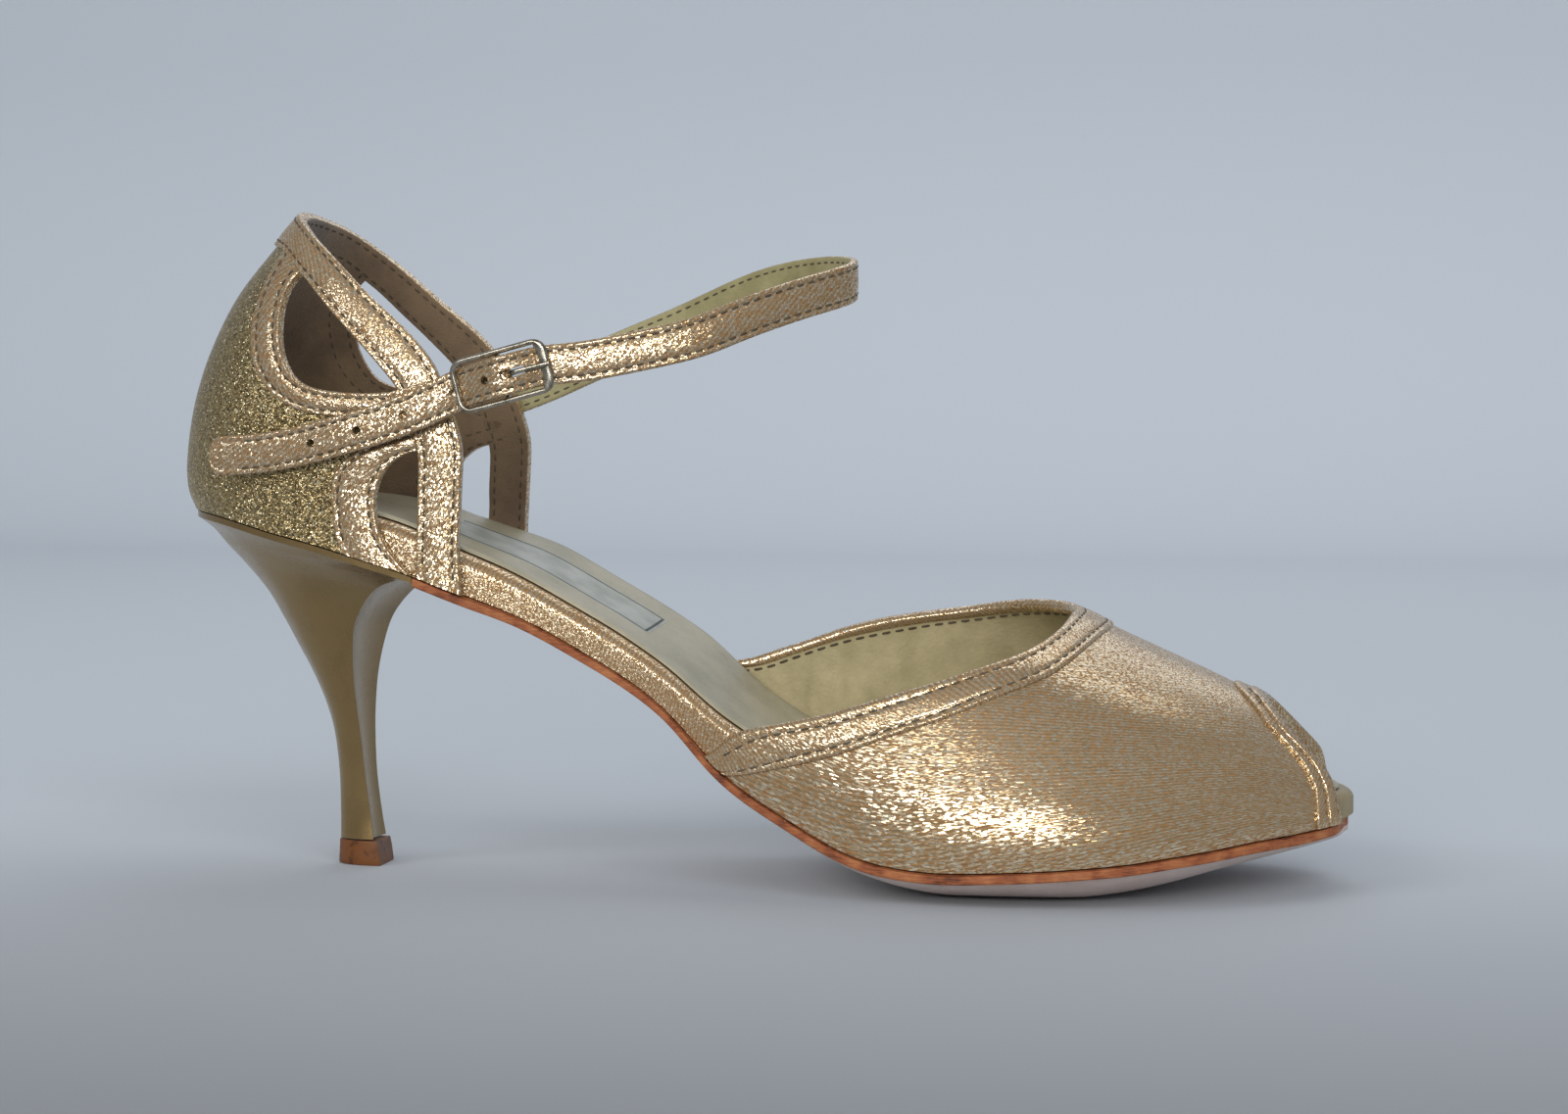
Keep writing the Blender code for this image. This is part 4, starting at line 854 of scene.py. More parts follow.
class Finishes:
    """All the shoe's finishes, made once."""

    def __init__(self) -> None:
        """Makes each material."""
        self.foil = FoilLeather("foil_goat_leather", "#A67F52", 0.2, 0.88).make()
        self.band_foil = FoilLeather("foil_band_leather", "#A27B50", 0.2, 0.88, lean=0.28, turn=58.0).make()
        self.cover_foil = FoilLeather("foil_insole_leather", "#A67F52", 0.24, 0.85, coverage=0.4, turn=12.0).make()
        self.glitter = Glitter("glitter_fabric", "#86784C", 0.3, 0.85).make()
        self.cream = Leather("cream_lining_leather", "#C0B28A", 0.42, dark="#A39770", grain_mm=0.6, crease=1.5).make()
        self.strap_lining = Leather("strap_lining_leather", "#A79E74", 0.5, dark="#8B8259", grain_mm=0.5).make()
        self.suede = Leather("brown_suede_lining", "#7C6345", 0.85, dark="#5E4830", grain_mm=0.35, relief=0.5, nap=0.5).make()
        self.sock = Leather("pale_sock_leather", "#AEA58B", 0.4, dark="#989076", grain_mm=0.7, relief=0.15).make()
        # the insole's toe end: pale lining-like leather painted a darker olive, which is painted shade for the shade it
        # sits in at the toe
        self.tip = Leather("insole_tip_painted_shade_leather", "#9A8A66", 0.45, dark="#7C6C4A", grain_mm=0.5).make()
        self.edge = SoleEdge("inked_sole_edge", "#965330", 0.6).make()
        self.underside = Leather("chrome_tanned_sole_suede", "#D3BCB2", 0.8, dark="#BDA094", grain_mm=0.5, relief=0.6, nap=0.3).make()
        self.lacquer = Lacquer("gold_heel_lacquer", "#93794E", 0.27, 0.8).make()
        self.rubber = Worn("polyurethane_top_piece", "#6E4018", 0.38, dark="#4A280C").make()
        self.nickel = Worn("nickel_plated_wire", "#B9B2A4", 0.17, 1.0, dark="#7C7668", marks=0.02).make()
        self.thread = Leather("waxed_polyester_thread", "#5F5341", 0.55, dark="#463B2D", grain_mm=0.2, relief=0.6).make()
        self.label = PrintedCloth("satin_label_cloth", "#B4B4AA", 0.45).make()
        self.ink = Worn("label_border_ink", "#33382F", 0.5, dark="#23261F").make()


# ---------------------------------------------------------------------------------------------- the last


class Last:
    """The shape that the shoe is built on: its outline in plan and the heights along it."""

    def __init__(self) -> None:
        """Samples every table once."""
        self._feather = Curve(FEATHER)
        self._arch = Curve(ARCH)
        self._platform = Curve(PLATFORM)
        loop = spline(OUTLINE, 24, closed=True) * (SOLE_LENGTH, HALF_WIDTH)
        loop = resample(np.vstack([loop, loop[:1]]), 1441)[:-1]
        bell = np.exp(-0.5 * (np.arange(-24, 25) / 7.0) ** 2)
        wrapped = np.vstack([loop[-24:], loop, loop[:24]])
        loop = np.stack([np.convolve(wrapped[:, k], bell / bell.sum(), mode="valid") for k in (0, 1)], 1)
        ahead = unit(np.roll(loop, -1, 0) - np.roll(loop, 1, 0))
        out = np.stack([ahead[:, 1], -ahead[:, 0]], 1)
        self._out = out if np.sum(out * (loop - loop.mean(0))) > 0 else -out
        self._loop = loop
        self._low, self._high = self.sides(0.0)

    def feather(self, x: Array) -> Array:
        """Height of the line where the upper meets the sole."""
        return HEEL_HEIGHT * self._feather(x / SOLE_LENGTH)

    def arch(self, x: Array) -> Array:
        """How much higher the medial edge is."""
        return HEEL_HEIGHT * self._arch(x / SOLE_LENGTH)

    def platform(self, x: Array) -> Array:
        """Thickness of the covered insole."""
        return INSOLE_THICKNESS * self._platform(x / SOLE_LENGTH)

    def outline(self, offset: Union[float, Callable[[Array], Array]]) -> Array:
        """The closed outline moved out along its normals, from the back by the lateral side."""
        reach = offset(self._loop[:, 0]) if callable(offset) else offset
        loop = self._loop + self._out * np.reshape(reach, (-1, 1))
        return np.roll(loop, -int(np.argmin(loop[:, 0])), 0)

    def halves(self, offset: Union[float, Callable[[Array], Array]], shares: Array) -> tuple[Array, Array]:
        """The lateral and medial sides from the back to the tip, read at shares of their lengths."""
        loop = self.outline(offset)
        tip = int(np.argmax(loop[:, 0]))
        lateral = loop[: tip + 1]
        medial = np.vstack([loop[tip:], loop[:1]])[::-1]
        return resample(lateral, 0, shares), resample(medial, 0, shares)

    def sides(self, offset: Union[float, Callable[[Array], Array]]) -> tuple[Callable, Callable]:
        """Functions that give the lateral and the medial y at x."""
        loop = self.outline(offset)
        tip = int(np.argmax(loop[:, 0]))
        lateral, medial = loop[: tip + 1], np.vstack([loop[tip:], loop[:1]])[::-1]
        return (
            lambda x: np.interp(x, lateral[:, 0], lateral[:, 1]),
            lambda x: np.interp(x, medial[:, 0], medial[:, 1]),
        )

    def share_across(self, x: Array, y: Array) -> Array:
        """How far across the insole a point lies: 0 at its lateral edge and 1 at its medial edge."""
        low, high = self._low(x), self._high(x)
        return np.clip((y - low) / np.maximum(high - low, 1e-5), 0, 1)

    def insole_top(self, x: Array, y: Array) -> Array:
        """Height of the insole's top: feather, platform and arch, less a shallow dish across."""
        t = self.share_across(x, y)
        dish = 0.1 * INSOLE_THICKNESS
        return self.feather(x) + GAP + self.platform(x) + self.arch(x) * t - dish * 4 * t * (1 - t)


def end_shares(count: int) -> Array:
    """Shares from 0 to 1 that crowd at both ends: half a cosine, blended with even steps."""
    even = np.linspace(0, 1, count)
    return 0.45 * even + 0.55 * 0.5 * (1 - np.cos(math.pi * even))


# ---------------------------------------------------------------------------------------------- the bottom


@dataclass
class Bottom:
    """The sole unit: outsole, covered insole, sock and the bare label on it."""

    last: Last
    looks: Finishes
    edge: float = 1.8 * MM
    stand: float = 2.5 * MM
    front_of_seat: float = 0.0935 * SOLE_LENGTH
    sock_thickness: float = 0.7 * MM
    label: tuple[float, float, float, float] = (0.019, 0.0615, 0.30, 0.74)
    # station where the insole's darker olive toe end begins; that darker colour is painted shade
    tip_shade_start: float = 0.186

    def outsole(self) -> bpy.types.Object:
        """A thin leather sole: each row runs along its top, down a rounded edge and across a crowned underside.

        Returns:
            The finished piece.
        """
        def overhang(x: Array) -> Array:
            table = ((0.09, 1.0), (0.15, 0.95), (0.2, 0.45), (0.34, 0.45), (0.4, 1.1), (0.93, 1.1), (0.965, 0.9), (0.99, -0.4))
            return self.stand * hermite(table, x / SOLE_LENGTH)

        lateral, medial = self.last.halves(overhang, end_shares(420))
        keep = (lateral[:, 0] > self.front_of_seat + GAP) & (medial[:, 0] > self.front_of_seat + GAP)
        lateral, medial = lateral[keep], medial[keep]
        lateral[0, 0] = medial[0, 0] = self.front_of_seat + GAP
        under = Curve(UNDERSIDE)
        soft = 0.35 * MM
        turn = np.linspace(0, 0.5 * math.pi, 5)
        top = [(t, 0.0, 0.0, 0.0) for t in np.linspace(1, 0, 17)]
        # columns: share across, inset from the edge, depth down the edge, share of the crown
        rim = [(0, soft * (1 - math.sin(a)), soft * (1 - math.cos(a)), 0) for a in turn[1:-1]]
        rim += [(0, 0, d, 0) for d in np.linspace(soft, self.edge - soft, 5)]
        rim += [(0, soft * (1 - math.cos(a)), self.edge - soft * (1 - math.sin(a)), 0) for a in turn[1:]]
        crown = [(s, 0, self.edge, 1 - (1 - min(s / 0.3, 1)) ** 2.2) for s in (0.02, 0.045, 0.08, 0.12, 0.17, 0.23, 0.3, 0.4, 0.5)]
        half = rim + crown
        other = [(1 - s, inset, depth, c) for s, inset, depth, c in half[::-1][1:]]
        columns = np.array(top + half + other + [top[0]])
        across, inset, depth, share = columns.T
        width = np.linalg.norm(medial - lateral, axis=1)[:, None]
        place = across[None] + np.where(across < 0.5, 1, -1)[None] * np.minimum(inset[None] / np.maximum(width, 1e-4), 0.5)
        xy = lateral[:, None] + (medial - lateral)[:, None] * place[:, :, None]
        x = xy[:, :, 0]
        tilt = self.last.arch(x) * self.last.share_across(x, xy[:, :, 1])
        height = self.last.feather(x) + tilt - depth[None]
        floor = HEEL_HEIGHT * under(x / SOLE_LENGTH) + tilt
        z = height + (np.minimum(floor, height) - height) * share[None]
        grid = np.concatenate([xy, z[:, :, None]], 2)
        grid = np.concatenate([np.broadcast_to(grid[:1].mean(1, keepdims=True), grid[:1].shape), grid])
        uv = surface_uv(grid)
        a, b = len(top) - 1, len(top) + len(rim) - 1
        c, d = len(columns) - 1 - len(rim), len(columns) - 1
        parts = ((0, a, 0), (a, b, 0), (b, c, 1), (c, d, 0))
        patches = [Patch(grid[:, i : j + 1], uv[:, i : j + 1], k) for i, j, k in parts]
        return make_piece("outsole_leather", patches, (self.looks.edge, self.looks.underside), ("outsole",), 55)

    def insole(self) -> bpy.types.Object:
        """The covered insole: a wall round the last's outline, a quarter-round edge and a dished top.

        Returns:
            The finished piece.
        """
        shares = end_shares(360)
        radius = 0.36 * INSOLE_THICKNESS
        turn = np.linspace(0, 0.5 * math.pi, 9)
        rim = [(0.0, 1.0, 0.0)] + [(0.0, 1 - d, 0.0) for d in (0.25, 0.5, 0.75, 1.0)]
        # columns of one side: inset, share of the wall still to climb, drop below the top
        side = [(0.0, s, radius) for s in (1.0, 0.75, 0.5, 0.25)] + [
            (radius * (1 - math.cos(a)), 0.0, radius * (1 - math.sin(a))) for a in turn
        ]
        rows = []
        for inset, climb, drop in side:
            pair = self.last.halves(-inset, shares)
            for points in pair:
                x, y = points.T
                foot = self.last.feather(x) + self.last.arch(x) * self.last.share_across(x, y) + GAP
                top = self.last.insole_top(x, y) - drop
                rows.append(np.stack([x, y, top + (foot - top) * climb], 1))
        lateral, medial = np.array(rows[0::2]), np.array(rows[1::2])
        t = np.linspace(0, 1, 15)[1:-1]
        xy = lateral[-1, :, :2][None] + (medial[-1, :, :2] - lateral[-1, :, :2])[None] * t[:, None, None]
        middle = np.concatenate([xy, self.last.insole_top(xy[:, :, 0], xy[:, :, 1])[:, :, None]], 2)
        ring = np.concatenate([lateral, middle, medial[::-1], lateral[:1]])
        grid = ring.transpose(1, 0, 2)
        run = np.concatenate([[0], np.cumsum(np.linalg.norm(np.diff(grid[len(grid) // 2], axis=0), axis=1))])
        uv = np.stack(np.broadcast_arrays(lengths(grid[:, 0])[:, None], run[None]), 2)
        # from the tip station forward the insole takes the darker olive leather: the real pale leather there, with
        # painted shade
        tip = int(np.argmax(lateral[0, :, 0] > self.tip_shade_start))
        patches = [Patch(grid[: tip + 1], uv[: tip + 1], 0), Patch(grid[tip:], uv[tip:], 1)]
        return make_piece("covered_insole", patches, (self.looks.cover_foil, self.looks.tip), ("insole",), 60)

    def sock_surface(self, rows: Array, columns: Array, lift: float, inset: float) -> Array:
        """Points over the sock, by share from back to toe and share across."""
        lateral, medial = self.last.halves(-inset, rows)
        xy = lateral[:, None] + (medial - lateral)[:, None] * columns[None, :, None]
        return np.concatenate([xy, (self.last.insole_top(xy[:, :, 0], xy[:, :, 1]) + lift)[:, :, None]], 2)

    def sock(self) -> bpy.types.Object:
        """The glued sock: a thin sheet with an eased edge that follows the insole's dish.

        Returns:
            The finished piece.
        """
        inset = 0.4 * INSOLE_THICKNESS
        rows, columns = end_shares(280), np.linspace(0, 1, 41)
        low = self.sock_surface(rows, columns, GAP, inset)
        brim = self.sock_surface(rows, columns, GAP + 0.6 * self.sock_thickness, inset)
        top = self.sock_surface(rows, columns, GAP + self.sock_thickness, inset + 0.35 * MM)
        ring = np.concatenate([low[:, ::-1], brim[:, :1], top, brim[:, -1:], low[:, -1:]], 1)
        return make_piece("sock_lining", [Patch(ring, surface_uv(ring))], (self.looks.sock,), ("insole_sock",), 70)

    def panel(self, name: str, span: tuple[float, float, float, float], lift: float, look: bpy.types.Material) -> None:
        """A thin panel laid on the sock between two stations and two shares across."""
        back, front, low, high = span
        x = np.linspace(back, front, 60)[:, None]
        share = np.linspace(low, high, 25)[None]
        inset = 0.4 * INSOLE_THICKNESS
        near, far = self.last.sides(-inset)
        y = near(x) + (far(x) - near(x)) * share
        z = self.last.insole_top(x + 0 * y, y) + GAP + self.sock_thickness
        top = np.stack([x + 0 * y, y, z + lift], 2)
        low_grid = np.stack([x + 0 * y, y, z - 0.1 * MM], 2)
        ring = np.concatenate([low_grid[:, ::-1], top, low_grid[:, -1:]], 1)
        ends = [np.broadcast_to(ring[k].mean(0), ring[k].shape)[None] for k in (0, -1)]
        ring = np.concatenate([ends[0], ring, ends[1]])
        make_piece(name, [Patch(ring, surface_uv(ring))], (look,))

    def label_panels(self) -> None:
        """The bare label and the three thin lines that edge it."""
        back, front, low, high = self.label
        self.panel("sock_label", self.label, 0.05 * MM, self.looks.label)
        line, edge = 0.012, 0.45 * MM
        self.panel("label_line_lateral", (back, front - 2 * edge, low + line, low + 2 * line), 0.09 * MM, self.looks.ink)
        self.panel("label_line_medial", (back, front - 2 * edge, high - 2 * line, high - line), 0.09 * MM, self.looks.ink)
        self.panel("label_line_front", (front - 2 * edge, front - edge, low + line, high - line), 0.09 * MM, self.looks.ink)

    def build(self) -> None:
        """Builds the whole sole unit."""
        self.outsole()
        self.insole()
        self.sock()
        self.label_panels()


# ---------------------------------------------------------------------------------------------- the vamp


@dataclass
class Vamp:
    """The peep-toe forefoot: its wall and lining, the topline's binding and the two strips at the toe."""

    last: Last
    looks: Finishes
    wall: float = 1.5 * MM
    binding_lift: float = 0.72 * MM
    strip_lifts: tuple[float, float] = (0.7 * MM, 1.2 * MM)
    ridge_y: float = 0.2 * HALF_WIDTH
    binding_width: float = 7.0 * MM
    medial_toe_back: float = 2.4 * MM

    def __post_init__(self) -> None:
        """Samples the section and the edges."""
        out, up = (np.array(c, float) for c in zip(*SECTION))
        girth = np.concatenate([[0], np.cumsum(np.hypot(np.diff(out), np.diff(up)))])
        girth /= girth[-1]
        self._out = Curve(tuple(zip(girth, out)), 0.02)
        self._up = Curve(tuple(zip(girth, up)), 0.03, even_start=True)
        self._ridge = Curve(RIDGE)
        self._sides = self.last.sides(GAP + self.wall)
        self._edges = {name: Curve(table, 0.02) for name, table in (
            ("lateral_top", LATERAL_TOPLINE), ("medial_top", MEDIAL_TOPLINE), ("lateral_low", LATERAL_BINDING),
            ("medial_low", MEDIAL_BINDING), ("strips", TOE_STRIPS), ("opening", TOE_OPENING))}

    def point(self, x: Array, v: Array) -> Array:
        """A point of the outer face: out from the ridge to the side and down from it to the feather.

        Args:
            x: Station along the shoe.
            v: Share of the girth, -1 at the lateral feather, 0 on the ridge, 1 at the medial feather.

        Returns:
            The points.
        """
        x, v = np.broadcast_arrays(x, v)
        lateral = v < 0
        near, far = self._sides
        edge = np.where(lateral, near(x), far(x))
        foot = self.last.feather(x) + np.where(lateral, 0, self.last.arch(x)) + GAP
        ridge = THROAT_HEIGHT * self._ridge(x / SOLE_LENGTH)
        out, up = self._out(np.abs(v)), self._up(np.abs(v))
        return np.stack([x, self.ridge_y + (edge - self.ridge_y) * out, foot + (ridge - foot) * up], -1)

    def outward(self, x: Array, v: Array) -> Array:
        """The outward normal: the cross product of the steps along x and along v."""
        dx, dv = 0.4 * MM, 0.006
        along = self.point(x + dx, v) - self.point(x - dx, v)
        low, high = np.maximum(v - dv, -1), np.minimum(v + dv, 1)
        across = self.point(x, high) - self.point(x, low)
        return unit(np.cross(along, across))

    def edge(self, lateral: str, medial: str, v: Array) -> Array:
        """Station of an edge at v, from the tables of its two sides."""
        up = self._up(np.abs(v))
        back = self.medial_toe_back * np.sin(math.pi * np.clip(up, 0, 1)) if lateral == medial else 0.0
        return np.where(v < 0, SOLE_LENGTH * self._edges[lateral](up), SOLE_LENGTH * self._edges[medial](up) - back)

    def lifted(self, x: Array, v: Array, lift: Array) -> Array:
        """Points moved out from the outer face, and kept above the feather."""
        points = self.point(x, v) + self.outward(x, v) * np.asarray(lift)[..., None]
        floor = self.last.feather(points[..., 0]) + np.where(v < 0, 0, self.last.arch(points[..., 0])) + GAP
        points[..., 2] = np.maximum(points[..., 2], floor)
        return points

    def columns(self, count: int) -> Array:
        """Places round the girth, closer at the two feathers."""
        even = np.linspace(-1, 1, count)
        return np.clip(even + 0.03 * np.sin(math.pi * even), -1, 1)

    def body(self) -> None:
        """The wall: the outer face, the rolled edges and the lining, which wrinkles low on the medial side."""
        v = self.columns(181)[None]
        top, front = self.edge("lateral_top", "medial_top", v), self.edge("opening", "opening", v)
        u = np.linspace(0, 1, 151)[:, None]
        x = top + (front - top) * u
        outer = self.lifted(x, v, np.zeros_like(x))
        turns = 2 * math.pi * x
        wrinkle = (
            np.sin(turns / (6.3 * MM) + 5 * v) + 0.7 * np.sin(turns / (4.1 * MM) - 7 * v + 1.3)
            + 0.6 * np.sin(turns / (10.4 * MM) + 3 * v + 0.4)
        )
        low = np.exp(-(((v - 0.74) / 0.22) ** 2)) * np.exp(-(((x - 0.082) / (26 * MM)) ** 2))
        soft = 0.3 * np.exp(-(((v - 0.4) / 0.35) ** 2)) * np.exp(-(((x - 0.105) / (30 * MM)) ** 2))
        clear = np.clip((x - top - 3 * MM) / (9 * MM), 0, 1)
        inner = self.lifted(x, v, -self.wall - 0.3 * MM * (wrinkle + 1.2) * (low + soft) * clear)
        uv = surface_uv(outer)
        rims = [np.stack([outer[0], inner[0]]), np.stack([outer[-1], inner[-1]])]
        rims += [np.stack([outer[:, 0], inner[:, 0]]), np.stack([outer[:, -1], inner[:, -1]])]
        rim_uv = [uv[:2], uv[:2], uv[:, :2].transpose(1, 0, 2), uv[:, :2].transpose(1, 0, 2)]
        patches = [Patch(outer, uv, 0), Patch(inner, uv, 1)]
        patches += [Patch(r, t, 0) for r, t in zip(rims, rim_uv)]
        make_piece("vamp_leather", patches, (self.looks.foil, self.looks.cream), ("vamp",), 60)

    def strip(self, name: str, section: Array, edges: tuple[Callable, Callable]) -> None:
        """A strip on the wall: its section's first number is a share from one edge to the other.

        Args:
            name: The piece's name.
            section: Closed points (share, lift).
            edges: Functions of v that give the two edges' stations.
        """
        v = self.columns(261)[:, None]
        start, end = edges[0](v), edges[1](v)
        grid = self.lifted(start + (end - start) * section[None, :, 0], v + 0 * section[None, :, 0], section[None, :, 1])
        ends = [np.broadcast_to(grid[k].mean(0), grid[k].shape)[None] for k in (0, -1)]
        grid = np.concatenate([ends[0], grid, ends[1]])
        around = lengths(section * (self.binding_width, 1))
        uv = np.stack(np.broadcast_arrays(lengths(grid[:, 0])[:, None], around[None]), 2)
        make_piece(name, [Patch(grid, uv)], (self.looks.foil,), sharp=70)

    def binding(self) -> None:
        """The topline's binding: folded round the wall's edge, sewn in two rows with a soft swell between them."""
        lift, wall, w = self.binding_lift, self.wall, self.binding_width
        across = np.linspace(1, 0.1, 34)
        swell = lift + 0.1 * MM * np.sin(math.pi * np.clip((across - 0.22) / 0.58, 0, 1))
        for row in (0.22, 0.80):
            swell -= 0.16 * MM * np.exp(-(((across - row) * w / (0.42 * MM)) ** 2))
        low = 0.5 * MM / w
        swell *= 1 - np.clip((across - 1 + low) / low, 0, 1) ** 2 * 0.75
        face = list(zip(across, swell))
        over = [(0.05, lift - 0.06 * MM), (0.0, lift - 0.25 * MM), (-0.04, 0.0), (-0.05, -0.5 * wall), (-0.035, -wall),
                (0.02, -wall - 0.22 * MM), (0.08, -wall - 0.28 * MM), (0.15, -wall - 0.26 * MM), (0.165, -wall - 0.05 * MM),
                (0.165, -0.5 * wall), (0.6, -0.4 * wall), (0.97, -0.2 * wall), (1.0, 0.0)]
        section = np.array([(1.0, 0.12 * MM), *face, *over, (1.0, 0.12 * MM)])
        edges = (lambda v: self.edge("lateral_top", "medial_top", v), lambda v: self.edge("lateral_low", "medial_low", v))
        self.strip("vamp_binding", section, edges)

    def toe_strips(self) -> None:
        """The two overlapping strips that edge the toe opening; the front one is folded round its edge."""
        def between(share: float) -> Callable[[Array], Array]:
            return lambda v: (1 - share) * self.edge("strips", "strips", v) + share * self.edge("opening", "opening", v)

        def section(lift: float, rest: float) -> Array:
            soft = np.array([(0.0, rest), (0.0, 0.5 * lift), (0.03, 0.8 * lift), (0.09, lift), (0.3, lift + 0.03 * MM),
                             (0.5, lift + 0.06 * MM), (0.7, lift + 0.03 * MM), (0.91, lift), (0.97, 0.8 * lift),
                             (1.0, 0.5 * lift), (1.0, rest)])
            under = np.array([(0.8, rest - 0.3 * MM), (0.2, rest - 0.3 * MM), (0.0, rest)])
            return np.vstack([soft, under])

        rear, front = self.strip_lifts
        self.strip("toe_strip_rear", section(rear, -0.2 * MM), (between(0.0), between(0.58)))
        fold = section(front, -0.2 * MM)
        edge = np.array([(1.0, 0.55 * front), (1.03, 0.0), (1.03, -self.wall), (0.95, -self.wall - 0.25 * MM),
                         (0.7, -self.wall - 0.25 * MM), (0.68, -0.5 * self.wall), (0.2, -0.5 * self.wall), (0.0, -0.2 * MM)])
        fold = np.vstack([fold[:10], edge])
        self.strip("toe_strip_front", fold, (between(0.46), between(1.0)))

    def stitches(self) -> None:
        """Sewing on the binding, inside it and on the toe strips."""
        thread = Thread()
        v = np.linspace(-0.985, 0.985, 900)
        top, low = self.edge("lateral_top", "medial_top", v), self.edge("lateral_low", "medial_low", v)
        for share, lift in ((0.22, self.binding_lift - 0.16 * MM), (0.80, self.binding_lift - 0.16 * MM)):
            x = top + (low - top) * share
            thread.along(self.lifted(x, v, lift + 0 * v), self.outward(x, v))
        x = top + (low - top) * 0.25
        thread.along(self.lifted(x, v, -self.wall - 0.06 * MM + 0 * v), -self.outward(x, v))
        strips, opening = self.edge("strips", "strips", v), self.edge("opening", "opening", v)
        thread.build("vamp_stitching", self.looks.thread, Slot.GOLD)
        fine = Thread(pitch=2.2 * MM, length=1.5 * MM, radius=0.17 * MM, sink=0.09 * MM)
        for share, lift in ((0.36, self.strip_lifts[0]), (0.84, self.strip_lifts[1])):
            x = strips + (opening - strips) * share
            fine.along(self.lifted(x, v, lift + 0.03 * MM + 0 * v), self.outward(x, v))
        for lean in (-1, 1):
            span = np.linspace(-1, 1, 60)
            v_cross = -0.16 + 0.075 * span
            start = self.edge("strips", "strips", v_cross)
            x = start + (self.edge("opening", "opening", v_cross) - start) * (0.5 + 0.3 * lean * span)
            fine.along(self.lifted(x, v_cross, self.strip_lifts[1] + 0.04 * MM + 0 * x), self.outward(x, v_cross))
        fine.build("toe_stitching", self.looks.thread, Slot.GOLD)

    def build(self) -> None:
        """Builds the forefoot."""
        self.body()
        self.binding()
        self.toe_strips()
        self.stitches()


# ---------------------------------------------------------------------------------------------- the quarter


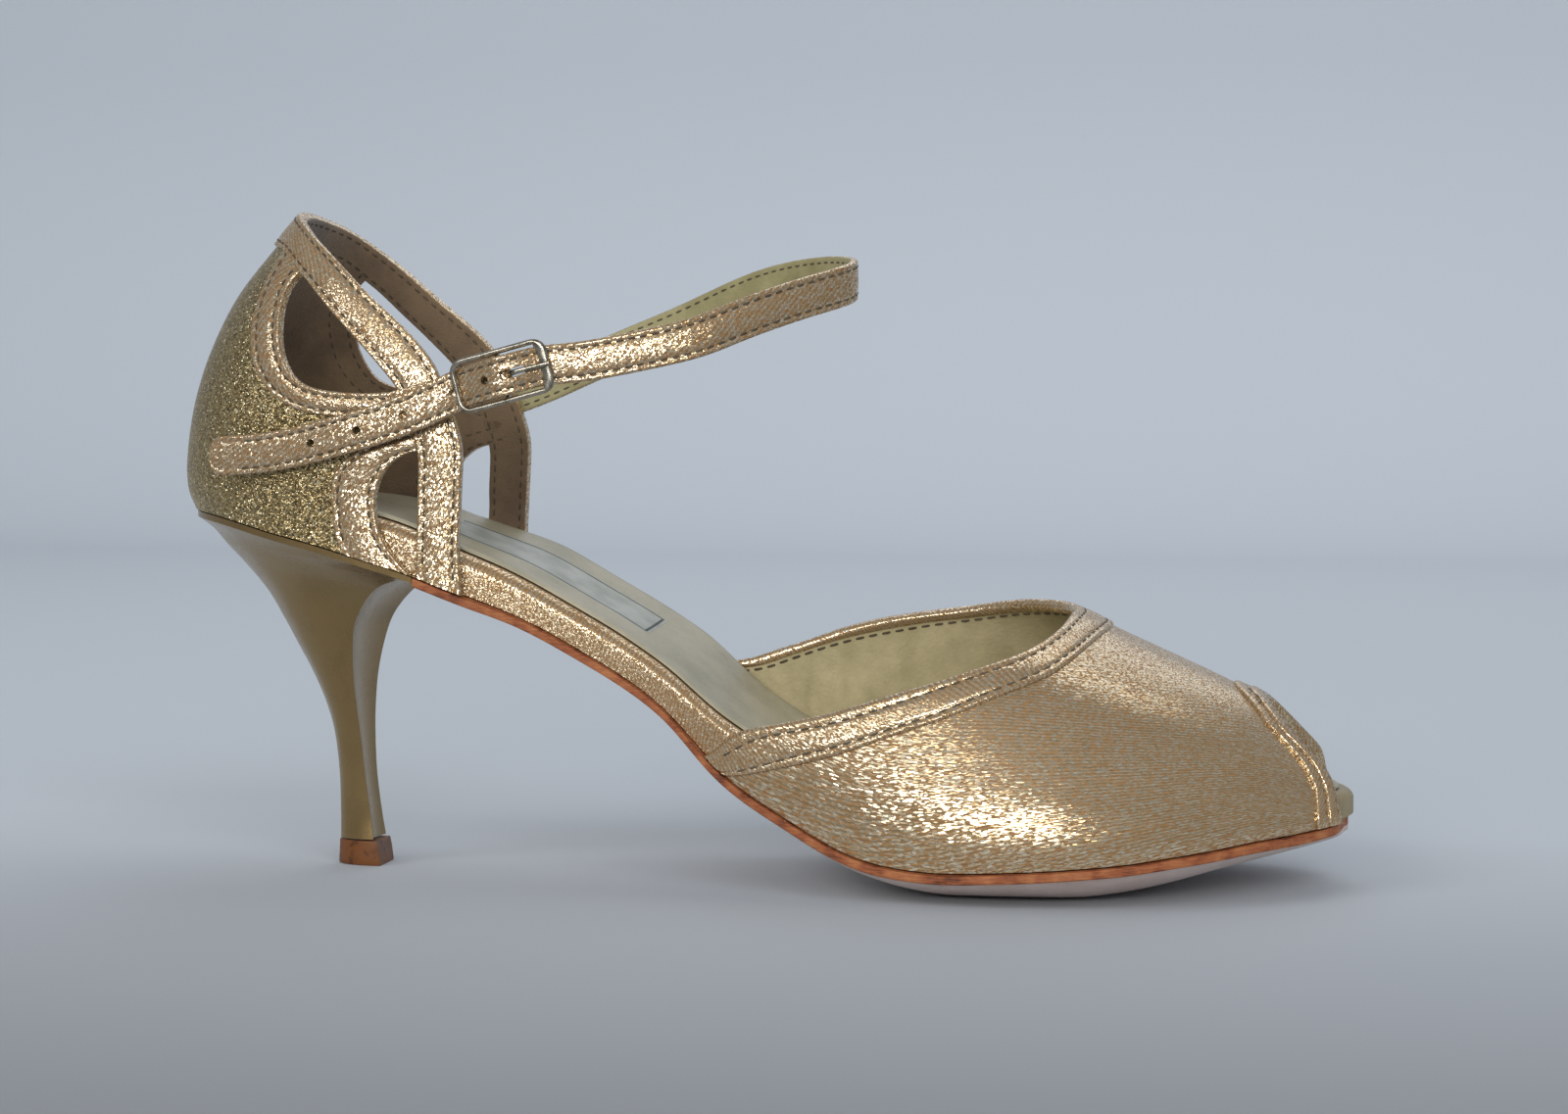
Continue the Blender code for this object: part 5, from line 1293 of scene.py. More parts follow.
@dataclass
class Quarter:
    """The heel cup: a glitter counter and the cage of gold bands round it."""

    last: Last
    looks: Finishes
    wall: float = 1.6 * MM
    band_lift: float = 0.8 * MM
    front: float = 0.155 * SOLE_LENGTH
    level: float = 1.03 * HEEL_HEIGHT

    def __post_init__(self) -> None:
        """Lays out the seat's outline by its length from the back, below zero on the lateral side."""
        lateral, medial = self.last.halves(GAP + self.wall, np.linspace(0, 1, 1500))
        lateral, medial = lateral[lateral[:, 0] < self.front], medial[medial[:, 0] < self.front]
        path = np.vstack([lateral[::-1], medial[1:]])
        run = lengths(path)
        self._w = run - run[len(lateral) - 1]
        self._seat = path
        self._back = Curve(QUARTER_BACK)
        self._taper = Curve(QUARTER_TAPER)
        self._start = path[:, 0].min()

    def lean(self, z: Array) -> Array:
        """How far the cup reaches back at height z, as a share of its reach at the seat."""
        back = SOLE_LENGTH * self._back((z - self.level) / QUARTER_RISE)
        return (self.front - back) / (self.front - self._start)

    def foot(self, w: Array) -> Array:
        """Height of the feather below a place round the seat."""
        x = np.interp(w, self._w, self._seat[:, 0])
        return self.last.feather(x) + np.where(np.asarray(w) > 0, self.last.arch(x), 0) + GAP

    def point(self, w: Array, z: Array) -> Array:
        """A point of the outer face: the seat's outline, drawn back by the lean and in by the taper."""
        w, z = np.broadcast_arrays(w, z)
        x, y = (np.interp(w, self._w, self._seat[:, k]) for k in (0, 1))
        taper = self._taper((z - self.level) / QUARTER_RISE)
        return np.stack([self.front - (self.front - x) * self.lean(z), y * taper, z], -1)

    def outward(self, w: Array, z: Array) -> Array:
        """The outward normal, from small steps round the cup and up it."""
        d = 0.6 * MM
        return unit(np.cross(self.point(w, z + d) - self.point(w, z - d), self.point(w + d, z) - self.point(w - d, z)))

    def lifted(self, w: Array, z: Array, lift: Array) -> Array:
        """Points moved out from the outer face."""
        return self.point(w, z) + self.outward(w, z) * np.asarray(lift)[..., None]

    def around(self, x: Array, z: Array, side: Side) -> Array:
        """The place round the seat that a point of the side view lies over."""
        seat_x = self.front - (self.front - x) / self.lean(z)
        half = self._w * side.value >= 0
        w, at = self._w[half] * side.value, self._seat[half, 0]
        order = np.argsort(w)
        rising = np.maximum.accumulate(at[order])
        return side.value * np.interp(seat_x, rising, w[order])

    def rungs(self, table: Table, side: Side) -> Array:
        """A band's rungs in (w, z) of its two edges, from its side view in millimetres."""
        x1, z1, x2, z2 = np.array(table, float).T * MM
        return np.stack([self.around(x1, z1, side), z1, self.around(x2, z2, side), z2], 1)

    def counter(self) -> None:
        """The glitter counter with its suede lining, running on under the bands at its front edges."""
        edge = Curve(tuple((z * MM, x * MM) for z, x in COUNTER_FRONT), 0.008)
        share = np.linspace(0, 1, 121)[:, None]
        s = np.linspace(-1, 1, 241)[None]
        top = 0.1285 + 0 * s
        # the foot's height depends on w, and w's reach on the height: two rounds settle both
        z = 0.066 + (top - 0.066) * share
        for _ in range(3):
            reach = np.where(s < 0, -self.around(edge(z), z, Side.LATERAL), self.around(edge(z), z, Side.MEDIAL))
            w = s * reach
            foot = self.foot(w)
            z = foot + (top - foot) * share
        outer, inner = self.lifted(w, z, 0 * w), self.lifted(w, z, 0 * w - self.wall)
        uv = surface_uv(outer)
        patches = [Patch(outer, uv, 0), Patch(inner, uv, 1)]
        rims = [np.stack([outer[0], inner[0]]), np.stack([outer[-1], inner[-1]]), np.stack([outer[:, 0], inner[:, 0]]),
                np.stack([outer[:, -1], inner[:, -1]])]
        rim_uv = [uv[:2], uv[:2], uv[:, :2].transpose(1, 0, 2), uv[:, :2].transpose(1, 0, 2)]
        patches += [Patch(r, t, 1) for r, t in zip(rims, rim_uv)]
        make_piece("glitter_counter", patches, (self.looks.glitter, self.looks.suede), ("quarter",), 60)

    def band(self, name: str, rungs: Array, lift: float, thread: Thread, sunk: float = 0.0, per: int = 14) -> None:
        """A folded band: a rounded strip on the cup, swelled between two rows of stitches.

        Args:
            name: The piece's name.
            rungs: (w, z) of its two edges, rung by rung.
            lift: How far its face stands off the cup.
            thread: The sewing that its rows join.
            sunk: How far its inner face stays off the cup's inner face.
            per: Steps a rung.
        """
        curve = spline(rungs, per)
        curve = np.stack([eased(curve[:, k], 0.35 * per) for k in range(4)], 1)
        middle = self.point(0.5 * (curve[:, 0] + curve[:, 2]), 0.5 * (curve[:, 1] + curve[:, 3]))
        width = float(np.median(np.linalg.norm(self.point(curve[:, 0], curve[:, 1]) - self.point(curve[:, 2], curve[:, 3]), axis=1)))
        low = -self.wall + sunk
        section = rounded_section(0.5 * width, 0.5 * (lift - low), 0.42 * MM)
        stitch = (0.5 * width - 1.35 * MM) / (0.5 * width)
        share = section[:, 0] / (0.5 * width)
        out = section[:, 1] + 0.5 * (lift + low)
        face = section[:, 1] > 0.45 * (lift - low)
        out += face * 0.12 * MM * np.cos(0.5 * math.pi * np.clip(share / stitch, -1, 1))
        for row in (-stitch, stitch):
            out -= face * 0.14 * MM * np.exp(-(((share - row) * 0.5 * width / (0.45 * MM)) ** 2))
        shifted = np.stack([0.5 * (share + 1), out], 1)

        def place(at: Array, across: Array) -> Array:
            row = np.linspace(0, 1, len(curve))
            w1, z1, w2, z2 = (np.interp(at, row, curve[:, k]) for k in range(4))
            w = w1 + (w2 - w1) * across[..., 0]
            z = z1 + (z2 - z1) * across[..., 0]
            z = np.maximum(z, self.foot(w))
            return self.lifted(w, z, across[..., 1] + 0 * w)

        patches = strip_patches(shifted, place, len(curve), width, low + 0.12 * MM)
        make_piece(name, patches, (self.looks.band_foil, self.looks.suede), sharp=60)
        for row in (-stitch, stitch):
            c = 0.5 * (row + 1)
            w = curve[:, 0] + (curve[:, 2] - curve[:, 0]) * c
            z = curve[:, 1] + (curve[:, 3] - curve[:, 1]) * c
            keep = z > self.foot(w) + 0.8 * MM
            w, z = w[keep], z[keep]
            normal = self.outward(w, z)
            thread.along(self.point(w, z) + normal * (lift - 0.06 * MM), normal)
            thread.along(self.point(w, z) + normal * (low + 0.0 * MM), -normal)

    def build(self) -> None:
        """Builds the counter, then the bands: those round the windows first and the long one over them."""
        thread = Thread(pitch=2.3 * MM, length=1.65 * MM, radius=0.25 * MM)
        self.counter()
        for side, word in ((Side.LATERAL, "lateral"), (Side.MEDIAL, "medial")):
            self.band(f"window_band_{word}", self.rungs(WINDOW_BAND, side), self.band_lift - 0.25 * MM, thread, 0.05 * MM)
            self.band(f"low_band_{word}", self.rungs(LOW_BAND, side), self.band_lift - 0.25 * MM, thread, 0.05 * MM)
        lateral, medial = self.rungs(CAGE_BAND, Side.LATERAL), self.rungs(CAGE_BAND, Side.MEDIAL)
        back = np.array([[0.0, COLLAR_BACK[0] * MM, 0.0, COLLAR_BACK[1] * MM]])
        self.band("cage_band", np.vstack([lateral, back, medial[::-1]]), self.band_lift, thread)
        thread.build("quarter_stitching", self.looks.thread, Slot.CAGE)


# ---------------------------------------------------------------------------------------------- the heel


@dataclass
class Heel:
    """The slim covered heel and its top piece."""

    last: Last
    looks: Finishes
    tip_length: float = 10 * MM
    tip_width: float = 9.4 * MM
    tip_height: float = 5 * MM
    wall: float = 1.6 * MM
    seat_front: float = 0.0935 * SOLE_LENGTH
    half_points: int = 49

    def section(self) -> tuple[Array, Array]:
        """Half a D-shaped section at even steps of its length: share along it, share of its half width."""
        shape = resample(spline(HEEL_SECTION, 20), self.half_points)
        shape[:, 1] = np.maximum(shape[:, 1], 0)
        return shape[:, 0], shape[:, 1]

    def ring(self, x: Array, y: Array, z: Array, hollow: float) -> Array:
        """A closed ring: the half, its mirror image, and back across a hollowed breast.

        Args:
            x: Stations of the half from the breast's corner to the back.
            y: Half widths.
            z: Heights.
            hollow: Depth of the breast's hollow.

        Returns:
            The ring, its first point repeated at the end.
        """
        half = np.stack([x, -y, z], 1)
        other = np.stack([x, y, z], 1)[::-1][1:]
        t = np.linspace(0, 1, 18)[1:-1, None]
        breast = other[-1] + (half[0] - other[-1]) * t
        breast[:, 0] -= hollow * 4 * t[:, 0] * (1 - t[:, 0])
        return np.vstack([half, other, breast, half[:1]])

    def body(self) -> None:
        """The heel: rings through the table's stations by a Catmull-Rom curve, ending on the heel seat's outline."""
        along, wide = self.section()
        low = self.tip_height + GAP
        rings = []
        for xb, zb, xf, zf, width in HEEL_RINGS:
            xb, xf = xb * SOLE_LENGTH, xf * SOLE_LENGTH
            zb, zf = max(zb * HEEL_HEIGHT, low), max(zf * HEEL_HEIGHT, low)
            y = 0.5 * width * HALF_WIDTH * wide
            rings.append(self.ring(xf + (xb - xf) * along, y, zf + (zb - zf) * along, 0.07 * width * HALF_WIDTH))
        lateral, _ = self.last.halves(GAP + self.wall, np.linspace(0, 1, 1500))
        side = lateral[lateral[:, 0] < self.seat_front][::-1]
        side = resample(side, self.half_points)
        seat_x, seat_y = side[:, 0], np.abs(side[:, 1])
        seat_y[-1] = 0
        seat_x[0] = self.seat_front
        feather = self.last.feather(seat_x)
        brim = self.ring(seat_x, seat_y, feather - 1.2 * MM, 0)
        rings.append(brim)
        stack = np.array(rings)
        count, points = stack.shape[:2]
        smooth = spline(stack.reshape(count, -1), 9).reshape(-1, points, 3)
        lip = self.ring(seat_x, seat_y, feather, 0)
        inside = self.ring(seat_x * 0.97 + 0.0002, seat_y * 0.9, feather, 0)
        closed = self.ring(seat_x, 0 * seat_y, feather, 0)
        start = np.broadcast_to(smooth[0].mean(0), smooth[0].shape)
        grid = np.concatenate([start[None], smooth, lip[None], inside[None], closed[None]])
        make_piece("lacquered_heel", [Patch(grid, surface_uv(grid))], (self.looks.lacquer,), ("heel",), 38)

    def top_piece(self) -> None:
        """The top piece: D-shaped rings, a little prouder at the floor, with eased edges."""
        along, wide = self.section()
        rings = []
        for z, scale in ((0.0, 0.955), (0.02, 0.985), (0.06, 1.0), (0.3, 0.985), (0.6, 0.96), (0.9, 0.93), (0.97, 0.92), (1.0, 0.895)):
            length, width = scale * self.tip_length, scale * self.tip_width
            front = 0.5 * self.tip_length * (1 - 0.1 * z) * min(scale + 0.05, 1.0)
            x, y = front - length * along, 0.5 * width * wide
            rings.append(self.ring(x, y, 0 * x + z * self.tip_height, 0.0))
        rings = [np.broadcast_to(rings[0].mean(0), rings[0].shape), *rings, np.broadcast_to(rings[-1].mean(0), rings[0].shape)]
        grid = np.array(rings)
        make_piece("heel_top_piece", [Patch(grid, surface_uv(grid))], (self.looks.rubber,), ("top_piece",), 40)

    def build(self) -> None:
        """Builds the heel and its top piece."""
        self.body()
        self.top_piece()


# ---------------------------------------------------------------------------------------------- strap and buckle


@dataclass
class Fastening:
    """The ankle strap, its buckle and the tab that holds the buckle to the cage."""

    last: Last
    looks: Finishes
    strap_width: float = 7.7 * MM
    strap_thickness: float = 1.6 * MM
    tab_thickness: float = 0.8 * MM
    wire: float = 1.1 * MM
    length: float = 18.5 * MM
    station: float = 0.1925 * SOLE_LENGTH
    height: float = 1.03 * HEEL_HEIGHT + 0.45 * QUARTER_RISE
    tilt: float = math.radians(15)
    holes: tuple[float, ...] = (0.178, 0.1425, 0.094, 0.0465, -0.001)
    hole_diameter: float = 1.6 * MM

    def __post_init__(self) -> None:
        """Works out how far out each layer lies: tab, tail, bar, frame, strap over the bar, prong."""
        near, _ = self.last.sides(GAP + 1.6 * MM + 0.8 * MM)
        self.flank = 1.006 * float(np.max(-near(SOLE_LENGTH * np.linspace(0.04, 0.14, 21))))
        self.tab = self.flank + GAP + 0.5 * self.tab_thickness
        self.tail = self.tab + 0.5 * self.tab_thickness + GAP + 0.5 * self.strap_thickness
        self.bar = self.tab + self.tab_thickness + GAP + 0.5 * self.wire
        self.frame = self.tail + 0.5 * self.strap_thickness + GAP + 0.5 * self.wire
        self.over = self.bar + 0.5 * self.wire + GAP + self.tab_thickness + GAP + 0.5 * self.strap_thickness
        self.prong_out = self.frame + self.wire + GAP
        self.axes = np.array([
            [math.cos(self.tilt), 0, math.sin(self.tilt)], [-math.sin(self.tilt), 0, math.cos(self.tilt)], [0, -1, 0]])
        self.centre = np.array([self.station, 0, self.height])

    def at(self, along: Array, across: Array, out: Array) -> Array:
        """Points in the buckle's own directions, out measured from the middle of the shoe."""
        along, across, out = np.broadcast_arrays(np.asarray(along, float), across, out)
        return self.centre + np.stack([along, across, out], -1) @ self.axes

    def strap_path(self) -> Array:
        """The strap's middle line: up the medial side, round the front, through the buckle and back to its tail."""
        level = self.height - 0.45 * QUARTER_RISE
        medial = self.flank + GAP + 0.5 * self.strap_thickness
        points = [(s * SOLE_LENGTH, (medial if side > 0 else self.tail) * side, level + h * QUARTER_RISE) for s, side, h in STRAP_FAR]
        half, rise = 0.5 * self.length, self.over - self.tail
        for share, out in ((0.92, 0.0), (0.45, 0.62), (0.0, 1.0), (-0.45, 0.62), (-0.92, 0.0)):
            points.append(tuple(self.at(share * half, 0.0, self.tail + out * rise)))
        points += [(s * SOLE_LENGTH, -self.tail * (1 - 0.6 * max(0.0, 0.03 - s)), level + h * QUARTER_RISE) for s, h in STRAP_TAIL]
        curve = spline(points, 16)
        curve = np.stack([eased(curve[:, k], 7.0) for k in range(3)], 1)
        return resample(curve, 620)

    def strap(self) -> None:
        """The strap: a rounded strip carried along the path, its end rounded, with punched holes."""
        path = self.strap_path()
        ahead = unit(np.gradient(path, axis=0))
        up = unit(np.array([0.0, 0.0, 1.0]) - ahead * ahead[:, 2:3])
        out = -np.cross(ahead, up)
        run = lengths(path)
        a, b = 0.5 * self.strap_width, 0.5 * self.strap_thickness
        section = rounded_section(a, b, 0.55 * MM, flat=22)
        share = section[:, 0] / a
        face = section[:, 1] > 0.6 * b
        stitch = (a - 1.25 * MM) / a
        lift = section[:, 1] + face * 0.1 * MM * np.cos(0.5 * math.pi * np.clip(share / stitch, -1, 1))
        for row in (-stitch, stitch):
            lift = lift - face * 0.13 * MM * np.exp(-(((share - row) * a / (0.42 * MM)) ** 2))
        corner = 2.6 * MM
        left = np.clip(run[-1] - run, 0, corner)
        width = a - corner + np.sqrt(np.maximum(corner**2 - (corner - left) ** 2, 0))
        grid = path[:, None] + up[:, None] * (share[None, :, None] * width[:, None, None]) + out[:, None] * lift[None, :, None]
        ends = [np.broadcast_to(grid[k].mean(0), grid[k].shape)[None] for k in (0, -1)]
        grid = np.concatenate([ends[0], grid, ends[1]])
        around = lengths(section)
        uv = np.stack(np.broadcast_arrays(lengths(grid[:, 0])[:, None], around[None]), 2)
        middle = 0.5 * (section[:-1, 1] + section[1:, 1])
        lining = middle < -0.75 * b
        first, last = int(np.argmax(lining)), len(lining) - int(np.argmax(lining[::-1]))
        parts = ((0, first, 0), (first, last, 1), (last, len(lining), 0))
        patches = [Patch(grid[:, i : j + 1], uv[:, i : j + 1], k) for i, j, k in parts]
        made = make_piece("ankle_strap_leather", patches, (self.looks.band_foil, self.looks.strap_lining), ("ankle_strap",), 60)
        self.punch(made, path)
        thread = Thread(pitch=2.3 * MM, length=1.65 * MM, radius=0.25 * MM)
        for row in (-stitch, stitch):
            keep = slice(6, -14)
            side = path + up * (row * a)
            thread.along((side + out * (b - 0.06 * MM))[keep], out[keep])
            thread.along((side - out * (b - 0.02 * MM))[keep], -out[keep])
        thread.build("strap_stitching", self.looks.thread, Slot.GOLD)

    def punch(self, strap: bpy.types.Object, path: Array) -> None:
        """Cuts the round holes and the prong's slot through the strap.

        Args:
            strap: The strap.
            path: Its middle line.
        """
        tail = path[int(np.argmax(path[:, 0])) :]
        turn = np.linspace(0, 2 * math.pi, 25)[:-1]
        centres = [tail[int(np.argmin(np.abs(tail[:, 0] - s * SOLE_LENGTH)))] for s in self.holes]
        circle = np.stack([np.cos(turn), 0 * turn, np.sin(turn)], 1) * 0.5 * self.hole_diameter
        rings = [np.stack([c + circle + (0, y, 0) for y in (-4 * MM, 4 * MM)]) for c in centres]
        slot = np.stack([np.clip(3 * np.cos(turn), -1, 1) * 2.4 * MM + 0.6 * MM, np.sin(turn) * 0.9 * MM], 1)
        rings.append(np.stack([self.at(slot[:, 0] + 1.9 * MM, slot[:, 1], self.over + d) for d in (4 * MM, -4 * MM)]))
        points = np.vstack([r.reshape(-1, 3) for r in rings])
        faces, n = [], len(turn)
        for k in range(len(rings)):
            base = 2 * n * k
            faces += [(base + j, base + (j + 1) % n, base + n + (j + 1) % n, base + n + j) for j in range(n)]
            faces += [tuple(range(base, base + n))[::-1], tuple(range(base + n, base + 2 * n))]
        mesh = bpy.data.meshes.new("punch")
        mesh.from_pydata(points.tolist(), [], faces)
        form = bmesh.new()
        form.from_mesh(mesh)
        bmesh.ops.recalc_face_normals(form, faces=form.faces)
        form.to_mesh(mesh)
        form.free()
        tool = bpy.data.objects.new("punch", mesh)
        bpy.context.scene.collection.objects.link(tool)
        cut = strap.modifiers.new("punch", "BOOLEAN")
        cut.object, cut.operation, cut.solver = tool, "DIFFERENCE", "EXACT"
        holed = bpy.data.meshes.new_from_object(strap.evaluated_get(bpy.context.evaluated_depsgraph_get()))
        strap.modifiers.remove(cut)
        strap.data = holed
        bpy.data.objects.remove(tool)

    def tube(self, name: str, path: Array, across: Array, wide: Array, thick: Array, closed: bool, replaces: Sequence[str] = ()) -> None:
        """A bar along a path, elliptical in section.

        Args:
            name: The piece's name.
            path: Its middle line.
            across: The direction of its width at each point.
            wide: Half its width at each point.
            thick: Half its thickness at each point.
            closed: Whether the path is a loop, its first point repeated at the end.
            replaces: The CAD nodes that it stands for.
        """
        ahead = unit(np.gradient(path, axis=0))
        if closed:
            ahead[0] = ahead[-1] = unit(path[1] - path[-2])
        side = unit(across - ahead * np.sum(across * ahead, 1)[:, None])
        other = np.cross(ahead, side)
        turn = np.linspace(0, 2 * math.pi, 25)
        grid = path[:, None] + side[:, None] * (np.cos(turn)[None] * wide[:, None])[..., None] + other[:, None] * (np.sin(turn)[None] * thick[:, None])[..., None]
        if not closed:
            ends = [np.broadcast_to(grid[k].mean(0), grid[k].shape)[None] for k in (0, -1)]
            grid = np.concatenate([ends[0], grid, ends[1]])
        make_piece(name, [Patch(grid, surface_uv(grid))], (self.looks.nickel,), replaces, 60)

    def buckle(self) -> None:
        """The frame, a rounded rectangle with a flat front bar, its centre bar and the prong hooked on it."""
        a = 0.5 * self.length
        b = 0.5 * self.strap_width + GAP + 0.5 * self.wire + 0.1 * MM
        corner = 2.2 * MM
        turn = np.linspace(0, 0.5 * math.pi, 15)
        loop = []
        for k, (sx, sy) in enumerate(((1, 1), (-1, 1), (-1, -1), (1, -1))):
            angle = turn + 0.5 * math.pi * k
            loop += list(zip(sx * (a - corner) + corner * np.cos(angle), sy * (b - corner) + corner * np.sin(angle)))
        flat = resample(np.array([*loop, loop[0]]), 241)
        front = np.clip((flat[:, 0] - (a - 1.6 * MM)) / (1.2 * MM), 0, 1)
        front = front * front * (3 - 2 * front)
        path = self.at(flat[:, 0] - front * 0.35 * MM, flat[:, 1], self.frame + 0.12 * MM * front)
        ahead = unit(np.gradient(flat, axis=0))
        normal = np.stack([ahead[:, 1], -ahead[:, 0], 0 * ahead[:, 0]], 1) @ self.axes
        self.tube("buckle_frame_wire", path, normal, 0.5 * self.wire * (1 + 0.75 * front), 0.5 * self.wire * (1 - 0.2 * front), True, ("buckle_frame",))
        y = np.linspace(-b, b, 60)
        dip = np.clip((b - np.abs(y)) / (1.3 * MM), 0, 1)
        dip = dip * dip * (3 - 2 * dip)
        bar = self.at(0 * y, y, self.frame + (self.bar - self.frame) * dip)
        self.tube("buckle_centre_bar", bar, np.tile(self.axes[0], (60, 1)), np.full(60, 0.45 * self.wire), np.full(60, 0.45 * self.wire), False)
        hook = 0.5 * self.wire + GAP + 0.5 * MM
        points = [(-hook, self.bar + 0.3 * hook), (-0.75 * hook, self.bar - 0.66 * hook), (0, self.bar - hook),
                  (0.75 * hook, self.bar - 0.66 * hook), (hook, self.bar), (1.25 * hook, self.bar + hook), (1.9 * hook, self.over),
                  (2.9 * hook, self.prong_out + 0.1 * MM), (0.8 * a, self.prong_out), (a + 0.6 * MM, self.prong_out - 0.25 * MM)]
        run = resample(spline(points, 12), 140)
        prong = self.at(run[:, 0], 0 * run[:, 0], run[:, 1])
        taper = 0.45 * self.wire * (1 - 0.25 * np.linspace(0, 1, 140) ** 3)
        self.tube("buckle_prong_wire", prong, np.tile(self.axes[1], (140, 1)), taper * 1.15, taper * 0.85, False, ("buckle_prong",))

    def tab_piece(self) -> None:
        """The tab: a thin strip from the bands, round the centre bar and back on itself."""
        loop = 0.5 * self.wire + GAP + 0.5 * self.tab_thickness
        start = -0.115 * SOLE_LENGTH
        turn = np.linspace(-0.5 * math.pi, 0.5 * math.pi, 9)
        points = [(start, self.tab), (0.6 * start, self.tab), (0.25 * start, self.tab), (-2 * MM, self.tab + 0.1 * MM)]
        points += list(zip(loop * np.cos(turn), self.bar + loop * np.sin(turn)))
        points.append((-1.2 * MM, self.bar + loop))
        run = resample(spline(points, 10), 150)
        path = self.at(run[:, 0], 0 * run[:, 0], run[:, 1])
        ahead = unit(np.gradient(path, axis=0))
        out = np.cross(ahead, self.axes[1])
        section = rounded_section(0.4 * self.strap_width, 0.5 * self.tab_thickness, 0.3 * MM)
        grid = path[:, None] + self.axes[1] * section[None, :, :1] + out[:, None] * section[None, :, 1:]
        ends = [np.broadcast_to(grid[k].mean(0), grid[k].shape)[None] for k in (0, -1)]
        grid = np.concatenate([ends[0], grid, ends[1]])
        make_piece("buckle_tab_leather", [Patch(grid, surface_uv(grid))], (self.looks.band_foil,), ("buckle_tab",), 60)

    def build(self) -> None:
        """Builds the strap, the buckle and its tab."""
        self.strap()
        self.buckle()
        self.tab_piece()


# ---------------------------------------------------------------------------------------------- the studio


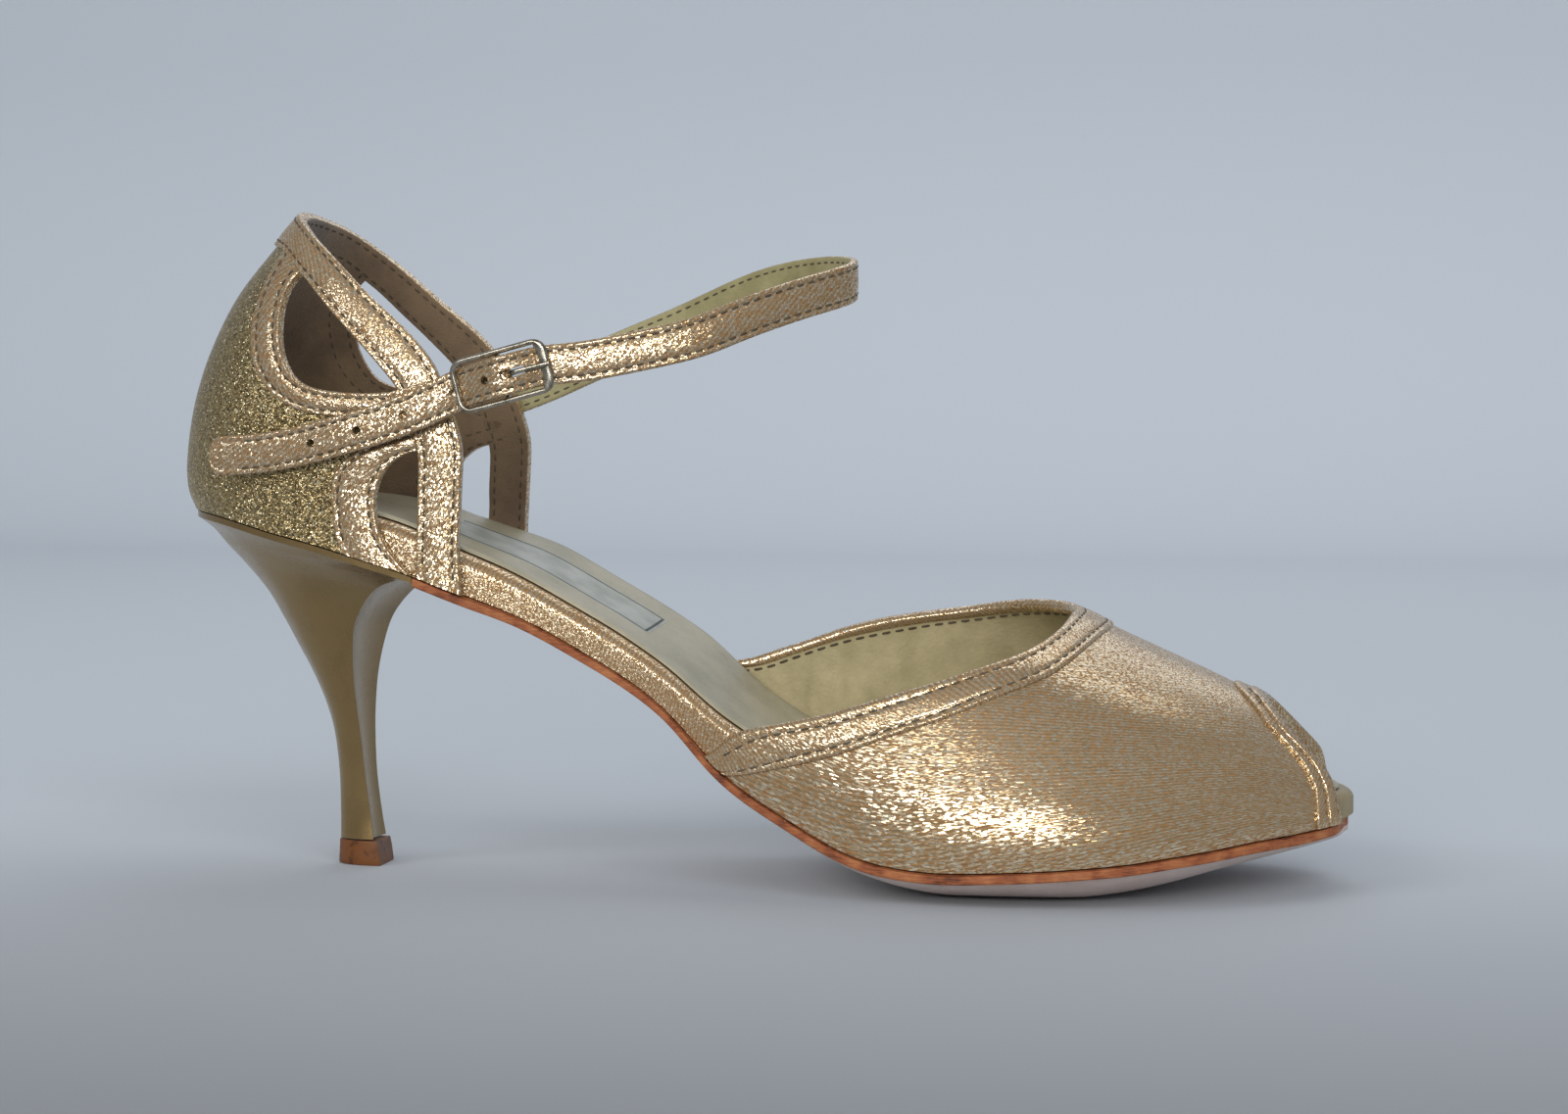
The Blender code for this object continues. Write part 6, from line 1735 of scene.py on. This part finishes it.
@dataclass
class Studio:
    """Pale paper swept up behind the shoe, soft lights and the camera."""

    camera_at: tuple[float, float, float] = (0.2038, -0.6287, 0.1002)
    look: tuple[float, float, float] = (-0.1819, 0.9816, -0.0576)
    lens: float = 74.25
    sweep_start: float = 1.1  # far enough that a camera on any side of the shoe stands before the paper's rise
    sweep_radius: float = 0.3

    def paper(self) -> None:
        """The paper: level, then a quarter circle, then upright; its section is carried straight across."""
        turn = np.linspace(0, 0.5 * math.pi, 40)
        y = np.concatenate([np.linspace(-3.0, self.sweep_start, 30)[:-1], self.sweep_start + self.sweep_radius * np.sin(turn)])
        z = np.concatenate([np.zeros(29), self.sweep_radius * (1 - np.cos(turn))])
        y, z = np.append(y, y[-1]), np.append(z, 3.0)
        x = np.linspace(-3.0, 3.4, 9)
        grid = np.stack(np.broadcast_arrays(x[None], y[:, None], z[:, None]), 2)
        mesh = bpy.data.meshes.new("paper")
        patch = Patch(grid, surface_uv(grid))
        mesh.from_pydata(grid.reshape(-1, 3).tolist(), [], patch.corners(0).tolist())
        mesh.shade_smooth()
        mesh.materials.append(Paper("seamless_paper", "#C6CBD0", 0.9).make())
        floor = bpy.data.objects.new("paper", mesh)
        bpy.context.scene.collection.objects.link(floor)

    def light(
        self, name: str, place: tuple[float, float, float], size: tuple[float, float], power: float, colour: str,
        mirrored: bool = True
    ) -> None:
        """A rectangular soft light that faces the shoe.

        Args:
            name: Its name.
            place: Where it stands.
            size: Its width and height.
            power: Watts.
            colour: Its sRGB colour.
            mirrored: Whether glossy surfaces show it.
        """
        lamp = bpy.data.lights.new(name, "AREA")
        lamp.shape, lamp.size, lamp.size_y = "RECTANGLE", size[0], size[1]
        lamp.energy, lamp.color = power, linear(colour)[:3]
        made = bpy.data.objects.new(name, lamp)
        made.location = place
        target = np.array((0.09, 0.0, 0.05)) - np.array(place)
        made.rotation_euler = self.facing(target)
        made.visible_glossy = mirrored
        bpy.context.scene.collection.objects.link(made)

    def room_fill(self, place: tuple[float, float, float], power: float, colour: str) -> None:
        """The room's broad soft light, as strong on the far paper as on the shoe, and not mirrored.

        Args:
            place: Where it comes from.
            power: Watts per square metre.
            colour: Its sRGB colour.
        """
        lamp = bpy.data.lights.new("room_fill", "SUN")
        lamp.energy, lamp.angle, lamp.color = power, math.radians(42), linear(colour)[:3]
        made = bpy.data.objects.new("room_fill", lamp)
        made.rotation_euler = self.facing(np.array((0.09, 0.0, 0.05)) - np.array(place))
        made.visible_glossy = False
        bpy.context.scene.collection.objects.link(made)

    @staticmethod
    def facing(direction: Array) -> tuple[float, float, float]:
        """Euler angles that turn an object's -Z along a direction, with its X level."""
        d = unit(np.asarray(direction, float))
        tilt = math.acos(float(-d[2]))
        return (tilt, 0.0, math.atan2(-float(d[0]), float(d[1])))

    def camera(self) -> None:
        """A 74 mm lens at the photograph's place, just above the shoe and a little towards the toe."""
        data = bpy.data.cameras.new("camera")
        data.lens, data.sensor_width, data.clip_start = self.lens, 36.0, 0.01
        made = bpy.data.objects.new("camera", data)
        made.location = self.camera_at
        made.rotation_euler = self.facing(np.array(self.look))
        bpy.context.scene.collection.objects.link(made)
        bpy.context.scene.camera = made

    def build(self) -> None:
        """Sets the whole studio."""
        self.camera()
        self.paper()
        world = bpy.data.worlds.new("soft_room")
        world.use_nodes = True
        back = world.node_tree.nodes["Background"]
        back.inputs["Color"].default_value = linear("#DCE3EA")
        back.inputs["Strength"].default_value = 0.36
        bpy.context.scene.world = world
        bpy.context.scene.view_settings.view_transform = "Standard"
        self.light("key_window", (0.03, -1.4, 0.42), (0.75, 0.18), 6.0, "#FFFCF6")
        self.light("upper_window", (-0.5, -1.15, 0.85), (0.4, 0.3), 1.8, "#FFFCF6")
        self.light("ceiling", (0.3, 0.45, 1.3), (0.9, 0.7), 2.5, "#F4F6FA")
        self.light("side_window", (-0.9, -0.9, 0.9), (0.6, 0.6), 4.0, "#FBFCFF", mirrored=False)
        self.light("rear_window", (0.1, 1.05, 0.9), (1.0, 0.8), 2.0, "#F4F6FA")
        self.room_fill((0.9, -1.4, 1.0), 1.2, "#EEF3FB")


def main() -> None:
    """Builds the shoe's sub-assemblies in order, then the studio."""
    logging.basicConfig(level=logging.INFO, format="%(message)s")
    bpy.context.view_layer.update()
    looks = Finishes()
    last = Last()
    for part in (Bottom(last, looks), Vamp(last, looks), Quarter(last, looks), Heel(last, looks), Fastening(last, looks), Studio()):
        part.build()
        LOG.info("%s done", type(part).__name__)


if __name__ == "__main__":
    main()
